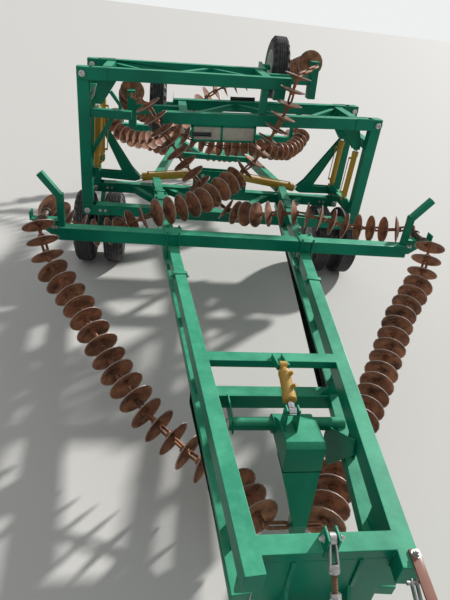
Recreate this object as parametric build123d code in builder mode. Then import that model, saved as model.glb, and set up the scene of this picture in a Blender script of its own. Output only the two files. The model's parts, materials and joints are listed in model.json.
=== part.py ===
"""Disc chain harrow, folded for the road.

Frame: +X to the right of the machine, +Y to its rear, +Z up, millimetres.
The origin lies on the ground, midway between the hitch eye's front and the tail.
"""
from math import atan2, cos, radians, sin
import os

from build123d import *

# Whole machine
OVERALL_LENGTH = 10350.0
FRAME_TOP = 950.0
SEAM = 0.3
MOVING_GAP = 6.0
PIN_CLEAR = 0.08

# Square tube of the beams, posts and wing rails, and the drawbar's rails
TUBE = 125.0
RAIL_WIDTH = 100.0
RAIL_DEPTH = 130.0
LOWER_RAIL_DEPTH = 80.0
CROSS_WIDTH = 100.0
CROSS_DEPTH = 60.0
PLATE = 12.0

# Stations behind the hitch's front edge
STUB_SETBACK = 890.0
HEAD_CROSS_SETBACK = 1030.0
MID_CROSS_SETBACK = 2420.0
LIFT_PIVOT_SETBACK = 2050.0
BOOM_SETBACK = 4232.0
FRONT_BEAM_SETBACK = 5562.0
FRAME_DEPTH = 850.0
REAR_BOOM_BEHIND_REAR_BEAM = 2550.0
TAIL_POST_DEPTH = 110.0
TAIL_POST_HALF = 50.0

# Half widths of the drawbar and the rear frame at named stations
RAIL_X_AT_BOOM = 683.0
RAIL_X_AT_HEAD = 378.0
REAR_RAIL_X_AT_BOOM = 480.0
HINGE_X = 1687.5
FRONT_BOOM_HALF = 1780.0
REAR_BOOM_HALF = 1600.0

# Wings: inner section stands up, outer section lies folded in over the frame
WING_REACH = 4110.0
POST_WIDTH = 115.0
WING_HUB_CLEAR = 95.0
HINGE_PIN_R = 25.0
RAIL_END_BEFORE_TIP = 320.0
REAR_RAIL_END_BEFORE_TIP = 450.0
END_CROSS_BEFORE_TIP = 560.0
TIP_ARM_WIDTH = 100.0
TIP_PLATE_THICK = 90.0
TIP_PLATE_WIDTH = 140.0
TIP_PLATE_ABOVE = 210.0
TIP_PLATE_BELOW = 200.0
WING_WHEEL_BEFORE_TIP = 255.0
WING_WHEEL_BEHIND_RAIL = 340.0
TIP_CHAIN_BELOW_TOP = 40.0

# Wheels
TYRE_R = 465.0
TYRE_WIDTH = 250.0
WING_TYRE_R = 380.0
WING_TYRE_WIDTH = 220.0
RIM_R = 195.0
RIM_WIDTH = 200.0
HUB_R = 75.0
STUB_R = 35.0
INNER_TYRE_X = 1410.0
OUTER_TYRE_X = 1780.0
TYRE_SIDES = 16

# Gangs of discs on chain
DISC_R = 150.0
DISC_DISH = 35.0
DISC_SIDES = 6
DISC_PITCH = 150.0
LINK_R = 20.0
LINK_HIDE = 8.0
BARE_LINK = 125.0
LEAD = 130.0
SADDLE_OVERHANG = 125.0
SADDLE_RISE = 345.0
SADDLE_LINK = 240.0

# Rams
FOLD_BARREL_R = 50.0
FOLD_ROD_R = 27.0
TIP_BARREL_R = 35.0
TIP_ROD_R = 20.0
LIFT_BARREL_R = 40.0
LIFT_ROD_R = 18.0
RAM_PIN_R = 18.0
EYE_WIDTH = 50.0
SLOT = 64.0
GLAND_SETBACK = 75.0
LIFT_X = 30.0
ARM_X = 105.0

# Places worked out from the sizes above
NOSE_Y = -OVERALL_LENGTH / 2
TAIL_Y = OVERALL_LENGTH / 2
STUB_Y = NOSE_Y + STUB_SETBACK
HEAD_Y = NOSE_Y + HEAD_CROSS_SETBACK
MID_CROSS_Y = NOSE_Y + MID_CROSS_SETBACK
LIFT_Y = NOSE_Y + LIFT_PIVOT_SETBACK
BOOM_Y = NOSE_Y + BOOM_SETBACK
FRONT_Y = NOSE_Y + FRONT_BEAM_SETBACK
REAR_Y = FRONT_Y + FRAME_DEPTH
AXLE_Y = (FRONT_Y + REAR_Y) / 2
REAR_BOOM_Y = REAR_Y + REAR_BOOM_BEHIND_REAR_BEAM
TAIL_POST_Y = TAIL_Y - DISC_R
BEAM_Z = FRAME_TOP - TUBE / 2
RAIL_TOP = FRAME_TOP + RAIL_DEPTH
RAIL_Z = FRAME_TOP + RAIL_DEPTH / 2
LOWER_TOP = FRAME_TOP - TUBE
BOOM_TOP = RAIL_TOP + TUBE
WING_MID_Y = (FRONT_Y + REAR_Y) / 2
RAIL_STOP_Y = REAR_Y - TUBE / 2
FRAME_FACE_Y = FRONT_Y - TUBE / 2

os.makedirs("parts", exist_ok=True)


def rail_x(y):
    """Half spacing of the drawbar's rails at a station."""
    slope = (RAIL_X_AT_BOOM - RAIL_X_AT_HEAD) / (BOOM_Y - HEAD_Y)
    return RAIL_X_AT_HEAD + slope * (y - HEAD_Y)


def rear_rail_x(y):
    """Half spacing of the rear frame's rails at a station."""
    slope = (REAR_RAIL_X_AT_BOOM - rail_x(REAR_Y)) / (REAR_BOOM_Y - REAR_Y)
    return rail_x(REAR_Y) + slope * (y - REAR_Y)


def block(x, y, z, mode=Mode.ADD):
    """Square-edged block between the low and high value on each axis."""
    middle = [(low + high) / 2 for low, high in (x, y, z)]
    with Locations(tuple(middle)):
        Box(x[1] - x[0], y[1] - y[0], z[1] - z[0], mode=mode)


def beam(start, end, width, depth, up=(0, 0, 1)):
    """Square tube between two points; depth lies nearest to the up direction."""
    run = Vector(*end) - Vector(*start)
    across = run.cross(Vector(*up)).normalized()
    with BuildSketch(Plane(origin=start, x_dir=across, z_dir=run)) as section:
        Rectangle(width, depth)
    extrude(section.sketch, amount=run.length)


def bar(start, end, radius, mode=Mode.ADD):
    """Round bar between two points."""
    run = Vector(*end) - Vector(*start)
    with BuildSketch(Plane(origin=start, z_dir=run)) as section:
        Circle(radius)
    extrude(section.sketch, amount=run.length, mode=mode)


def plate_across(outline, y, thickness):
    """Plate standing across the machine, from (x, z) points, centred on y."""
    with BuildSketch(Plane.XZ.offset(-y)) as shape:
        with BuildLine():
            Polyline(*outline, close=True)
        make_face()
    extrude(shape.sketch, amount=thickness / 2, both=True)


def plate_along(outline, x, thickness):
    """Plate standing along the machine, from (y, z) points, centred on x."""
    with BuildSketch(Plane.YZ.offset(x)) as shape:
        with BuildLine():
            Polyline(*outline, close=True)
        make_face()
    extrude(shape.sketch, amount=thickness / 2, both=True)


# Which way an eye's bore runs: 0 across the machine, 1 along it
EYE_WAYS = (Vector(EYE_WIDTH / 2, 0, 0), Vector(0, EYE_WIDTH / 2, 0))


def ram_eye(centre, radius, way, bore_r):
    """Bored eye of a ram."""
    reach = EYE_WAYS[way]
    bar(tuple(centre - reach), tuple(centre + reach), radius)
    bar(tuple(centre - reach * 2), tuple(centre + reach * 2), bore_r, mode=Mode.SUBTRACT)


def ram_barrel(base, eye, radius, rod_r, eye_r, way):
    """Ram barrel from its base pin to the gland near the rod's eye."""
    run = (eye - base).normalized()
    bar(tuple(base + run * (eye_r - 10)), tuple(base + run * (eye_r + 25)), EYE_WIDTH / 2)
    bar(tuple(base + run * (eye_r + 15)), tuple(eye - run * GLAND_SETBACK), radius)
    bar(tuple(base + run * (eye_r + 35)), tuple(eye - run * (GLAND_SETBACK - 1)), rod_r + PIN_CLEAR,
        mode=Mode.SUBTRACT)
    ram_eye(base, eye_r, way, RAM_PIN_R + PIN_CLEAR)


def ram_rod(base, eye, rod_r, eye_r, way):
    """Ram rod from inside the barrel to its eye, which is open."""
    run = (eye - base).normalized()
    bar(tuple(base + run * (eye_r + 45)), tuple(eye - run * (eye_r - 8)), rod_r)
    ram_eye(eye, eye_r, way, RAM_PIN_R)


def write(piece, label):
    """Label a finished piece and write its file."""
    piece.part.label = label
    export_step(piece.part, f"parts/{label}.step")


# Drawbar: two upper rails that run on over the centre frame's beams
with BuildPart() as drawbar_upper:
    for side in (-1, 1):
        beam((side * rail_x(STUB_Y), STUB_Y, RAIL_Z),
             (side * rail_x(RAIL_STOP_Y), RAIL_STOP_Y, RAIL_Z), RAIL_WIDTH, RAIL_DEPTH)
    for cross_y in (HEAD_Y, MID_CROSS_Y):
        block((-rail_x(cross_y), rail_x(cross_y)),
              (cross_y - CROSS_WIDTH / 2, cross_y + CROSS_WIDTH / 2),
              (RAIL_TOP - CROSS_DEPTH, RAIL_TOP))
    TOP_LINK_Y = HEAD_Y - 20
    TOP_LINK_Z = RAIL_TOP + 62
    for ear_x in (-26, 26):
        plate_along([(HEAD_Y - 55, RAIL_TOP - 30), (HEAD_Y + 45, RAIL_TOP - 30),
                     (HEAD_Y + 25, RAIL_TOP + 92), (HEAD_Y - 55, RAIL_TOP + 92)], ear_x, PLATE)
    bar((-40, TOP_LINK_Y, TOP_LINK_Z), (40, TOP_LINK_Y, TOP_LINK_Z), 12)
    LIFT_BASE_Y = MID_CROSS_Y - 170
    LIFT_BASE_Z = RAIL_TOP + 60
    for ear_x in (LIFT_X - EYE_WIDTH / 2 - 9, LIFT_X + EYE_WIDTH / 2 + 9):
        plate_along([(MID_CROSS_Y, RAIL_TOP - 30), (MID_CROSS_Y, RAIL_TOP + 30),
                     (LIFT_BASE_Y - 25, LIFT_BASE_Z + 25), (LIFT_BASE_Y - 25, LIFT_BASE_Z - 25)],
                    ear_x, PLATE)
    bar((LIFT_X - 44, LIFT_BASE_Y, LIFT_BASE_Z), (LIFT_X + 44, LIFT_BASE_Y, LIFT_BASE_Z), RAM_PIN_R)
write(drawbar_upper, "drawbar_upper")

# Lower rails, the headstock plate that closes the front, and the web plates between the rails
HEAD_PLATE_Y = HEAD_Y - CROSS_WIDTH / 2 + 10
HEAD_PLATE_LOW = 610.0
TONGUE_Z = 500.0
TONGUE_PIN_Y = HEAD_Y - 160
TONGUE_EAR_X = 160.0
LIFT_PIVOT_Z = FRAME_TOP - 150
LIFT_PIVOT_R = 45.0
LIFT_EAR_X = -300.0
FRONT_LOWER_TOP = FRAME_TOP - 205
with BuildPart() as drawbar_lower:
    for side in (-1, 1):
        beam((side * rail_x(HEAD_PLATE_Y), HEAD_PLATE_Y, FRONT_LOWER_TOP - LOWER_RAIL_DEPTH / 2),
             (side * rail_x(MID_CROSS_Y), MID_CROSS_Y, LOWER_TOP - LOWER_RAIL_DEPTH / 2),
             RAIL_WIDTH, LOWER_RAIL_DEPTH - 2)
        beam((side * rail_x(MID_CROSS_Y), MID_CROSS_Y, LOWER_TOP - LOWER_RAIL_DEPTH / 2),
             (side * rail_x(REAR_Y), REAR_Y, LOWER_TOP - LOWER_RAIL_DEPTH / 2),
             RAIL_WIDTH, LOWER_RAIL_DEPTH)
        for web_y in (HEAD_Y + 250, HEAD_Y + 800, MID_CROSS_Y, MID_CROSS_Y + 800, BOOM_Y, BOOM_Y + 700,
                      REAR_Y - 200):
            web_x = side * rail_x(web_y)
            forward = max(0.0, (MID_CROSS_Y - web_y) / (MID_CROSS_Y - HEAD_PLATE_Y))
            block((web_x - PLATE / 2, web_x + PLATE / 2), (web_y - 75, web_y + 75),
                  (LOWER_TOP - 20 - forward * (LOWER_TOP - FRONT_LOWER_TOP), FRAME_TOP))
    block((20 - rail_x(MID_CROSS_Y), rail_x(MID_CROSS_Y) - 20), (MID_CROSS_Y - 112, MID_CROSS_Y - 5),
          (LOWER_TOP - 134, LOWER_TOP - 16))
    for side in (-1, 1):
        gusset_x = rail_x(MID_CROSS_Y - 90)
        plate_across([(side * (gusset_x - 50), FRAME_TOP), (side * (gusset_x + 35), FRAME_TOP),
                      (side * (gusset_x + 35), LOWER_TOP - 50), (side * (gusset_x - 160), LOWER_TOP - 50),
                      (side * (gusset_x - 75), LOWER_TOP + 50)], MID_CROSS_Y - 90, PLATE)
    bar((LIFT_EAR_X - 25, LIFT_Y, LIFT_PIVOT_Z), (rail_x(LIFT_Y), LIFT_Y, LIFT_PIVOT_Z), LIFT_PIVOT_R)
    plate_along([(MID_CROSS_Y - 100, LOWER_TOP - 10), (LIFT_Y - 40, LIFT_PIVOT_Z + 60),
                 (LIFT_Y - 60, LIFT_PIVOT_Z - 40), (MID_CROSS_Y - 100, LOWER_TOP - 120)], LIFT_EAR_X, PLATE)
    plate_along([(LIFT_Y - 60, FRAME_TOP - 130), (LIFT_Y - 365, FRAME_TOP + 90), (LIFT_Y - 400, FRAME_TOP),
                 (LIFT_Y - 150, FRAME_TOP - 390), (LIFT_Y + 10, FRAME_TOP - 290),
                 (LIFT_Y + 20, FRAME_TOP - 160)], rail_x(LIFT_Y) - 105, PLATE)
    head_half = rail_x(HEAD_PLATE_Y) - RAIL_WIDTH / 2 - 5
    plate_across([(-head_half, RAIL_TOP - CROSS_DEPTH), (head_half, RAIL_TOP - CROSS_DEPTH),
                  (head_half, HEAD_PLATE_LOW), (-head_half, HEAD_PLATE_LOW)], HEAD_PLATE_Y, 20)
    block((-head_half - 95, head_half + 95), (HEAD_PLATE_Y - 10, HEAD_PLATE_Y + 10),
          (HEAD_PLATE_LOW + 160, FRAME_TOP - 5))
    for ear_x in (-TONGUE_EAR_X, TONGUE_EAR_X):
        plate_along([(HEAD_PLATE_Y + 8, HEAD_PLATE_LOW + 190), (HEAD_PLATE_Y - 10, HEAD_PLATE_LOW + 190),
                     (TONGUE_PIN_Y - 55, TONGUE_Z + 40), (TONGUE_PIN_Y - 55, TONGUE_Z - 60),
                     (TONGUE_PIN_Y + 55, TONGUE_Z - 60), (HEAD_PLATE_Y + 8, TONGUE_Z + 60)],
                    ear_x, 20)
    bar((-TONGUE_EAR_X - 20, TONGUE_PIN_Y, TONGUE_Z), (TONGUE_EAR_X + 20, TONGUE_PIN_Y, TONGUE_Z),
        HINGE_PIN_R + PIN_CLEAR, mode=Mode.SUBTRACT)
write(drawbar_lower, "drawbar_lower")

# Tongue with the hitch eye, hung on a pin between the headstock's ears
EYE_R = 60.0
EYE_BORE_R = 25.5
EYE_THICK = 40.0
TONGUE_TUBE = 110.0
LINK_LUG_Y = HEAD_Y - 620
LINK_LUG_Z = TONGUE_Z + TONGUE_TUBE / 2 + 45
with BuildPart() as tongue:
    bar((-TONGUE_EAR_X + 11, TONGUE_PIN_Y, TONGUE_Z), (TONGUE_EAR_X - 11, TONGUE_PIN_Y, TONGUE_Z), 50)
    bar((-TONGUE_EAR_X - 25, TONGUE_PIN_Y, TONGUE_Z), (TONGUE_EAR_X + 25, TONGUE_PIN_Y, TONGUE_Z),
        HINGE_PIN_R)
    block((-TONGUE_TUBE / 2, TONGUE_TUBE / 2), (NOSE_Y + 2 * EYE_R + 30, TONGUE_PIN_Y),
          (TONGUE_Z - TONGUE_TUBE / 2, TONGUE_Z + TONGUE_TUBE / 2))
    block((-40, 40), (NOSE_Y + EYE_R, NOSE_Y + 2 * EYE_R + 60),
          (TONGUE_Z - EYE_THICK / 2, TONGUE_Z + EYE_THICK / 2))
    bar((0, NOSE_Y + EYE_R, TONGUE_Z - EYE_THICK / 2), (0, NOSE_Y + EYE_R, TONGUE_Z + EYE_THICK / 2), EYE_R)
    bar((0, NOSE_Y + EYE_R, TONGUE_Z - EYE_THICK), (0, NOSE_Y + EYE_R, TONGUE_Z + EYE_THICK),
        EYE_BORE_R, mode=Mode.SUBTRACT)
    for ear_x in (-26, 26):
        plate_along([(LINK_LUG_Y - 50, TONGUE_Z + 40), (LINK_LUG_Y + 50, TONGUE_Z + 40),
                     (LINK_LUG_Y + 35, LINK_LUG_Z + 30), (LINK_LUG_Y - 35, LINK_LUG_Z + 30)], ear_x, PLATE)
    bar((-40, LINK_LUG_Y, LINK_LUG_Z), (40, LINK_LUG_Y, LINK_LUG_Z), 12)
write(tongue, "tongue")

# Turnbuckle from the head cross member down to the tongue
link_top = Vector(0, TOP_LINK_Y, TOP_LINK_Z)
link_low = Vector(0, LINK_LUG_Y, LINK_LUG_Z)
link_run = (link_low - link_top).normalized()
with BuildPart() as turnbuckle:
    for eye_centre in (link_top, link_low):
        bar(tuple(eye_centre - Vector(18, 0, 0)), tuple(eye_centre + Vector(18, 0, 0)), 28)
    bar(tuple(link_top), tuple(link_low), 15)
    bar(tuple(link_top + link_run * 200), tuple(link_low - link_run * 170), 28)
    for eye_centre in (link_top, link_low):
        bar(tuple(eye_centre - Vector(30, 0, 0)), tuple(eye_centre + Vector(30, 0, 0)),
            12 + PIN_CLEAR, mode=Mode.SUBTRACT)
write(turnbuckle, "turnbuckle")

# Parking jack on the tongue's left side
JACK_Y = NOSE_Y + 520
JACK_SLEEVE = 84.0
JACK_LEG = 60.0
JACK_X = -(TONGUE_TUBE / 2 + 30 + JACK_SLEEVE / 2)
JACK_SLEEVE_LOW = 300.0
JACK_SLEEVE_TOP = 950.0
JACK_LEG_TOP = 650.0
JACK_FOOT = 220.0
JACK_FOOT_THICK = 20.0
with BuildPart() as jack_sleeve:
    block((JACK_X - JACK_SLEEVE / 2, JACK_X + JACK_SLEEVE / 2),
          (JACK_Y - JACK_SLEEVE / 2, JACK_Y + JACK_SLEEVE / 2), (JACK_SLEEVE_LOW, JACK_SLEEVE_TOP))
    block((JACK_X - JACK_LEG / 2 - 0.5, JACK_X + JACK_LEG / 2 + 0.5),
          (JACK_Y - JACK_LEG / 2 - 0.5, JACK_Y + JACK_LEG / 2 + 0.5),
          (JACK_SLEEVE_LOW - 10, JACK_SLEEVE_TOP - 15), mode=Mode.SUBTRACT)
    block((JACK_X + JACK_SLEEVE / 2, -TONGUE_TUBE / 2), (JACK_Y - 50, JACK_Y + 50),
          (TONGUE_Z - 50, TONGUE_Z + 50))
write(jack_sleeve, "jack_sleeve")

with BuildPart() as jack_leg:
    block((JACK_X - JACK_LEG / 2, JACK_X + JACK_LEG / 2), (JACK_Y - JACK_LEG / 2, JACK_Y + JACK_LEG / 2),
          (JACK_FOOT_THICK / 2, JACK_LEG_TOP))
    block((JACK_X - JACK_FOOT / 2, JACK_X + JACK_FOOT / 2),
          (JACK_Y - JACK_FOOT / 2, JACK_Y + JACK_FOOT / 2), (0, JACK_FOOT_THICK))
write(jack_leg, "jack_leg")

# Centre frame: front and rear beam with hinge ears, and the braces between them
EAR_GAP = TUBE / 2
with BuildPart() as centre_frame:
    for beam_y in (FRONT_Y, REAR_Y):
        beam_half = HINGE_X - WING_HUB_CLEAR
        block((-beam_half, beam_half), (beam_y - TUBE / 2, beam_y + TUBE / 2), (LOWER_TOP, FRAME_TOP))
        for side in (-1, 1):
            for ear_y in (beam_y - EAR_GAP - PLATE / 2, beam_y + EAR_GAP + PLATE / 2):
                plate_across([(side * (HINGE_X - 260), LOWER_TOP), (side * (HINGE_X + 40), LOWER_TOP),
                              (side * (HINGE_X + 60), BEAM_Z), (side * (HINGE_X + 40), FRAME_TOP),
                              (side * (HINGE_X - 260), FRAME_TOP)], ear_y, PLATE)
            bar((side * HINGE_X, beam_y - EAR_GAP - PLATE - 8, BEAM_Z),
                (side * HINGE_X, beam_y + EAR_GAP + PLATE + 8, BEAM_Z), HINGE_PIN_R)
    for side in (-1, 1):
        beam((side * 1190, REAR_Y - 40, BEAM_Z), (side * 640, FRONT_Y + 40, BEAM_Z), 80, 80)
        beam((side * 700, REAR_Y - 40, BEAM_Z), (side * 60, FRONT_Y + 40, BEAM_Z), 80, 80)
write(centre_frame, "centre_frame")

# Humped bracket on the rear beam that anchors both fold rams
FOLD_Z = FRAME_TOP + 200
FOLD_BASE_X = 250.0
MAST_TOP = FRAME_TOP + 270
MAST_HALF = 370.0
MAST_PLATE_Y = FOLD_BARREL_R + 7 + PLATE / 2
with BuildPart() as fold_bracket:
    for plate_y in (REAR_Y - MAST_PLATE_Y, REAR_Y + MAST_PLATE_Y):
        plate_across([(-MAST_HALF, FRAME_TOP), (MAST_HALF, FRAME_TOP), (MAST_HALF, FRAME_TOP + 120),
                      (MAST_HALF - 110, MAST_TOP), (110 - MAST_HALF, MAST_TOP),
                      (-MAST_HALF, FRAME_TOP + 120)], plate_y, PLATE)
    block((-60, 60), (REAR_Y - MAST_PLATE_Y, REAR_Y + MAST_PLATE_Y), (FRAME_TOP, MAST_TOP - 30))
    for side in (-1, 1):
        bar((side * FOLD_BASE_X, REAR_Y - MAST_PLATE_Y - 14, FOLD_Z),
            (side * FOLD_BASE_X, REAR_Y + MAST_PLATE_Y + 14, FOLD_Z), RAM_PIN_R)
write(fold_bracket, "fold_bracket")

# Booms that carry the gangs out to the sides: tube, bent horns and chain saddles
HORN_TUBE = 62.0
HORN_RISE = 325.0
HORN_TIP_RISE = 505.0
HORN_TIP_OUT = 165.0
for boom_name, boom_y, boom_half in (("front_boom", BOOM_Y, FRONT_BOOM_HALF),
                                     ("rear_boom", REAR_BOOM_Y, REAR_BOOM_HALF)):
    with BuildPart() as boom:
        block((-boom_half, boom_half), (boom_y - TUBE / 2, boom_y + TUBE / 2), (RAIL_TOP, BOOM_TOP))
        for side in (-1, 1):
            knee_x = side * (boom_half - HORN_TUBE / 2)
            beam((knee_x, boom_y, BOOM_TOP - 20), (knee_x, boom_y, BOOM_TOP + HORN_RISE),
                 HORN_TUBE, HORN_TUBE, up=(0, 1, 0))
            beam((knee_x, boom_y, BOOM_TOP + HORN_RISE - 30),
                 (knee_x + side * HORN_TIP_OUT, boom_y, BOOM_TOP + HORN_TIP_RISE),
                 HORN_TUBE, HORN_TUBE, up=(0, 1, 0))
            saddle_top = FRAME_TOP + SADDLE_RISE - LINK_R
            saddle_tip = boom_half + 2 * SADDLE_OVERHANG
            plate_across([(side * (boom_half - 20), RAIL_TOP + 20), (side * (boom_half + 60), RAIL_TOP + 20),
                          (side * saddle_tip, saddle_top - 25), (side * saddle_tip, saddle_top - 1),
                          (side * (boom_half - 20), saddle_top - 1)], boom_y, 20)
            block(sorted((side * (boom_half - 10), side * saddle_tip)), (boom_y - 50, boom_y + 50),
                  (saddle_top - 15, saddle_top))
            block(sorted((side * (saddle_tip - 15), side * saddle_tip)), (boom_y - 50, boom_y + 50),
                  (saddle_top - 15, saddle_top + 70))
    write(boom, boom_name)

# Rear frame: converging rails, their braces and the tail post that holds the rear apex
REAR_CROSS_Y = REAR_Y + 1440
APEX_Z = 450.0
REAR_RAIL_START_Y = REAR_Y + TUBE / 2 + 2
RAIL_END_Y = TAIL_POST_Y - 70
with BuildPart() as rear_frame:
    for side in (-1, 1):
        beam((side * rear_rail_x(REAR_RAIL_START_Y), REAR_RAIL_START_Y, RAIL_Z),
             (side * rear_rail_x(RAIL_END_Y), RAIL_END_Y, RAIL_Z), RAIL_WIDTH, RAIL_DEPTH)
        beam((side * 120, REAR_CROSS_Y, RAIL_Z),
             (side * rear_rail_x(REAR_BOOM_Y - 150), REAR_BOOM_Y - 150, RAIL_Z), 70, 70)
    block((-rear_rail_x(REAR_CROSS_Y), rear_rail_x(REAR_CROSS_Y)), (REAR_CROSS_Y - 40, REAR_CROSS_Y + 40),
          (RAIL_Z - 40, RAIL_Z + 40))
    tail_half = rear_rail_x(RAIL_END_Y) + RAIL_WIDTH / 2
    block((-tail_half, tail_half), (RAIL_END_Y - 20, TAIL_POST_Y + 60), (FRAME_TOP, RAIL_TOP))
    block((-TAIL_POST_HALF, TAIL_POST_HALF),
          (TAIL_POST_Y - TAIL_POST_DEPTH / 2, TAIL_POST_Y + TAIL_POST_DEPTH / 2),
          (APEX_Z - 90, FRAME_TOP + 10))
    beam((0, RAIL_END_Y - 300, RAIL_Z - 30), (0, TAIL_POST_Y - 20, APEX_Z + 200), 60, 60)
    block((-rear_rail_x(RAIL_END_Y - 300), rear_rail_x(RAIL_END_Y - 300)),
          (RAIL_END_Y - 340, RAIL_END_Y - 260), (RAIL_Z - 60, RAIL_Z + 20))
write(rear_frame, "rear_frame")

# Transport axle: a leg from the rear beam's end down between each pair of tyres, with stub axles
LEG_X = (INNER_TYRE_X + OUTER_TYRE_X) / 2
LEG_THICK = 54.0
with BuildPart() as axle_frame:
    for side in (-1, 1):
        plate_along([(REAR_Y - TUBE / 2, LOWER_TOP - SEAM), (REAR_Y + TUBE / 2, LOWER_TOP - SEAM),
                     (REAR_Y + TUBE / 2, LOWER_TOP - 90), (AXLE_Y + 120, TYRE_R - 60),
                     (AXLE_Y - 70, TYRE_R - 60), (AXLE_Y - 70, TYRE_R + 50)], side * LEG_X, LEG_THICK)
        bar((side * (INNER_TYRE_X - 60), AXLE_Y, TYRE_R), (side * (OUTER_TYRE_X + 60), AXLE_Y, TYRE_R), STUB_R)
write(axle_frame, "axle_frame")


def tyre(x, y, z, radius, width):
    """Many-sided tyre about a cross axis, with its middle cut out for the rim."""
    with BuildSketch(Plane.YZ.offset(x - width / 2)) as shape:
        with Locations((y, z)):
            RegularPolygon(radius, TYRE_SIDES, major_radius=False, rotation=90 - 180 / TYRE_SIDES)
            RegularPolygon(RIM_R, TYRE_SIDES, major_radius=False, rotation=90 - 180 / TYRE_SIDES,
                           mode=Mode.SUBTRACT)
    extrude(shape.sketch, amount=width)


def rim(x, y, z):
    """Wheel rim with a dished disc and a hub bored for the stub axle."""
    bar((x - RIM_WIDTH / 2, y, z), (x + RIM_WIDTH / 2, y, z), RIM_R - SEAM)
    bar((x - RIM_WIDTH / 2 - 1, y, z), (x - 20, y, z), RIM_R - 25, mode=Mode.SUBTRACT)
    bar((x + 20, y, z), (x + RIM_WIDTH / 2 + 1, y, z), RIM_R - 25, mode=Mode.SUBTRACT)
    bar((x - RIM_WIDTH / 2 + 10, y, z), (x + RIM_WIDTH / 2 - 10, y, z), HUB_R)
    bar((x - RIM_WIDTH, y, z), (x + RIM_WIDTH, y, z), STUB_R + PIN_CLEAR, mode=Mode.SUBTRACT)


# Twin wheels each side of the transport axle
for side_name, side in (("left", -1), ("right", 1)):
    with BuildPart() as tyres:
        for tyre_x in (INNER_TYRE_X, OUTER_TYRE_X):
            tyre(side * tyre_x, AXLE_Y, TYRE_R, TYRE_R, TYRE_WIDTH)
    write(tyres, f"tyres_{side_name}")
    with BuildPart() as rims:
        for tyre_x in (INNER_TYRE_X, OUTER_TYRE_X):
            rim(side * tyre_x, AXLE_Y, TYRE_R)
    write(rims, f"rims_{side_name}")


def wing_point(side, tilt, lift, distance, rise):
    """(x, z) of a point on a folded outer wing, along and square to its rail from the top hinge."""
    angle = radians(tilt)
    x = side * (HINGE_X - distance * cos(angle) + rise * sin(angle))
    z = BEAM_Z + lift + distance * sin(angle) + rise * cos(angle)
    return x, z


# Wings. Columns: side name, side, length of the inner section, tilt of the folded outer section,
# height of the wing wheel above the outer rail's middle, tip rams' base in from and above the hinge
WINGS = (
    ("left", -1, 1520.0, 2.3, 40.0, 97.5, 440.0),
    ("right", 1, 1270.0, -3.0, -60.0, 117.5, 270.0),
)
TIP_RAM_ALONG = 117.5
TIP_RAM_BELOW = 287.5
FRONT_RAM_Y = FRONT_Y + 140
REAR_RAM_Y = REAR_Y - 160
HORN_NOSE_X = HINGE_X - 537.5
HORN_NOSE_Z = FRAME_TOP + 90
POST_IN = HINGE_X - TUBE / 2
REST_Y = FRONT_Y + 28
REST_Z = FRAME_TOP + 1055
REST_END_X = -1175.0
TIP_LEG_X = 300.0
TIP_LEG_LOW = FRAME_TOP + 1212
TIP_BOX = (400.0, 530.0)

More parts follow.
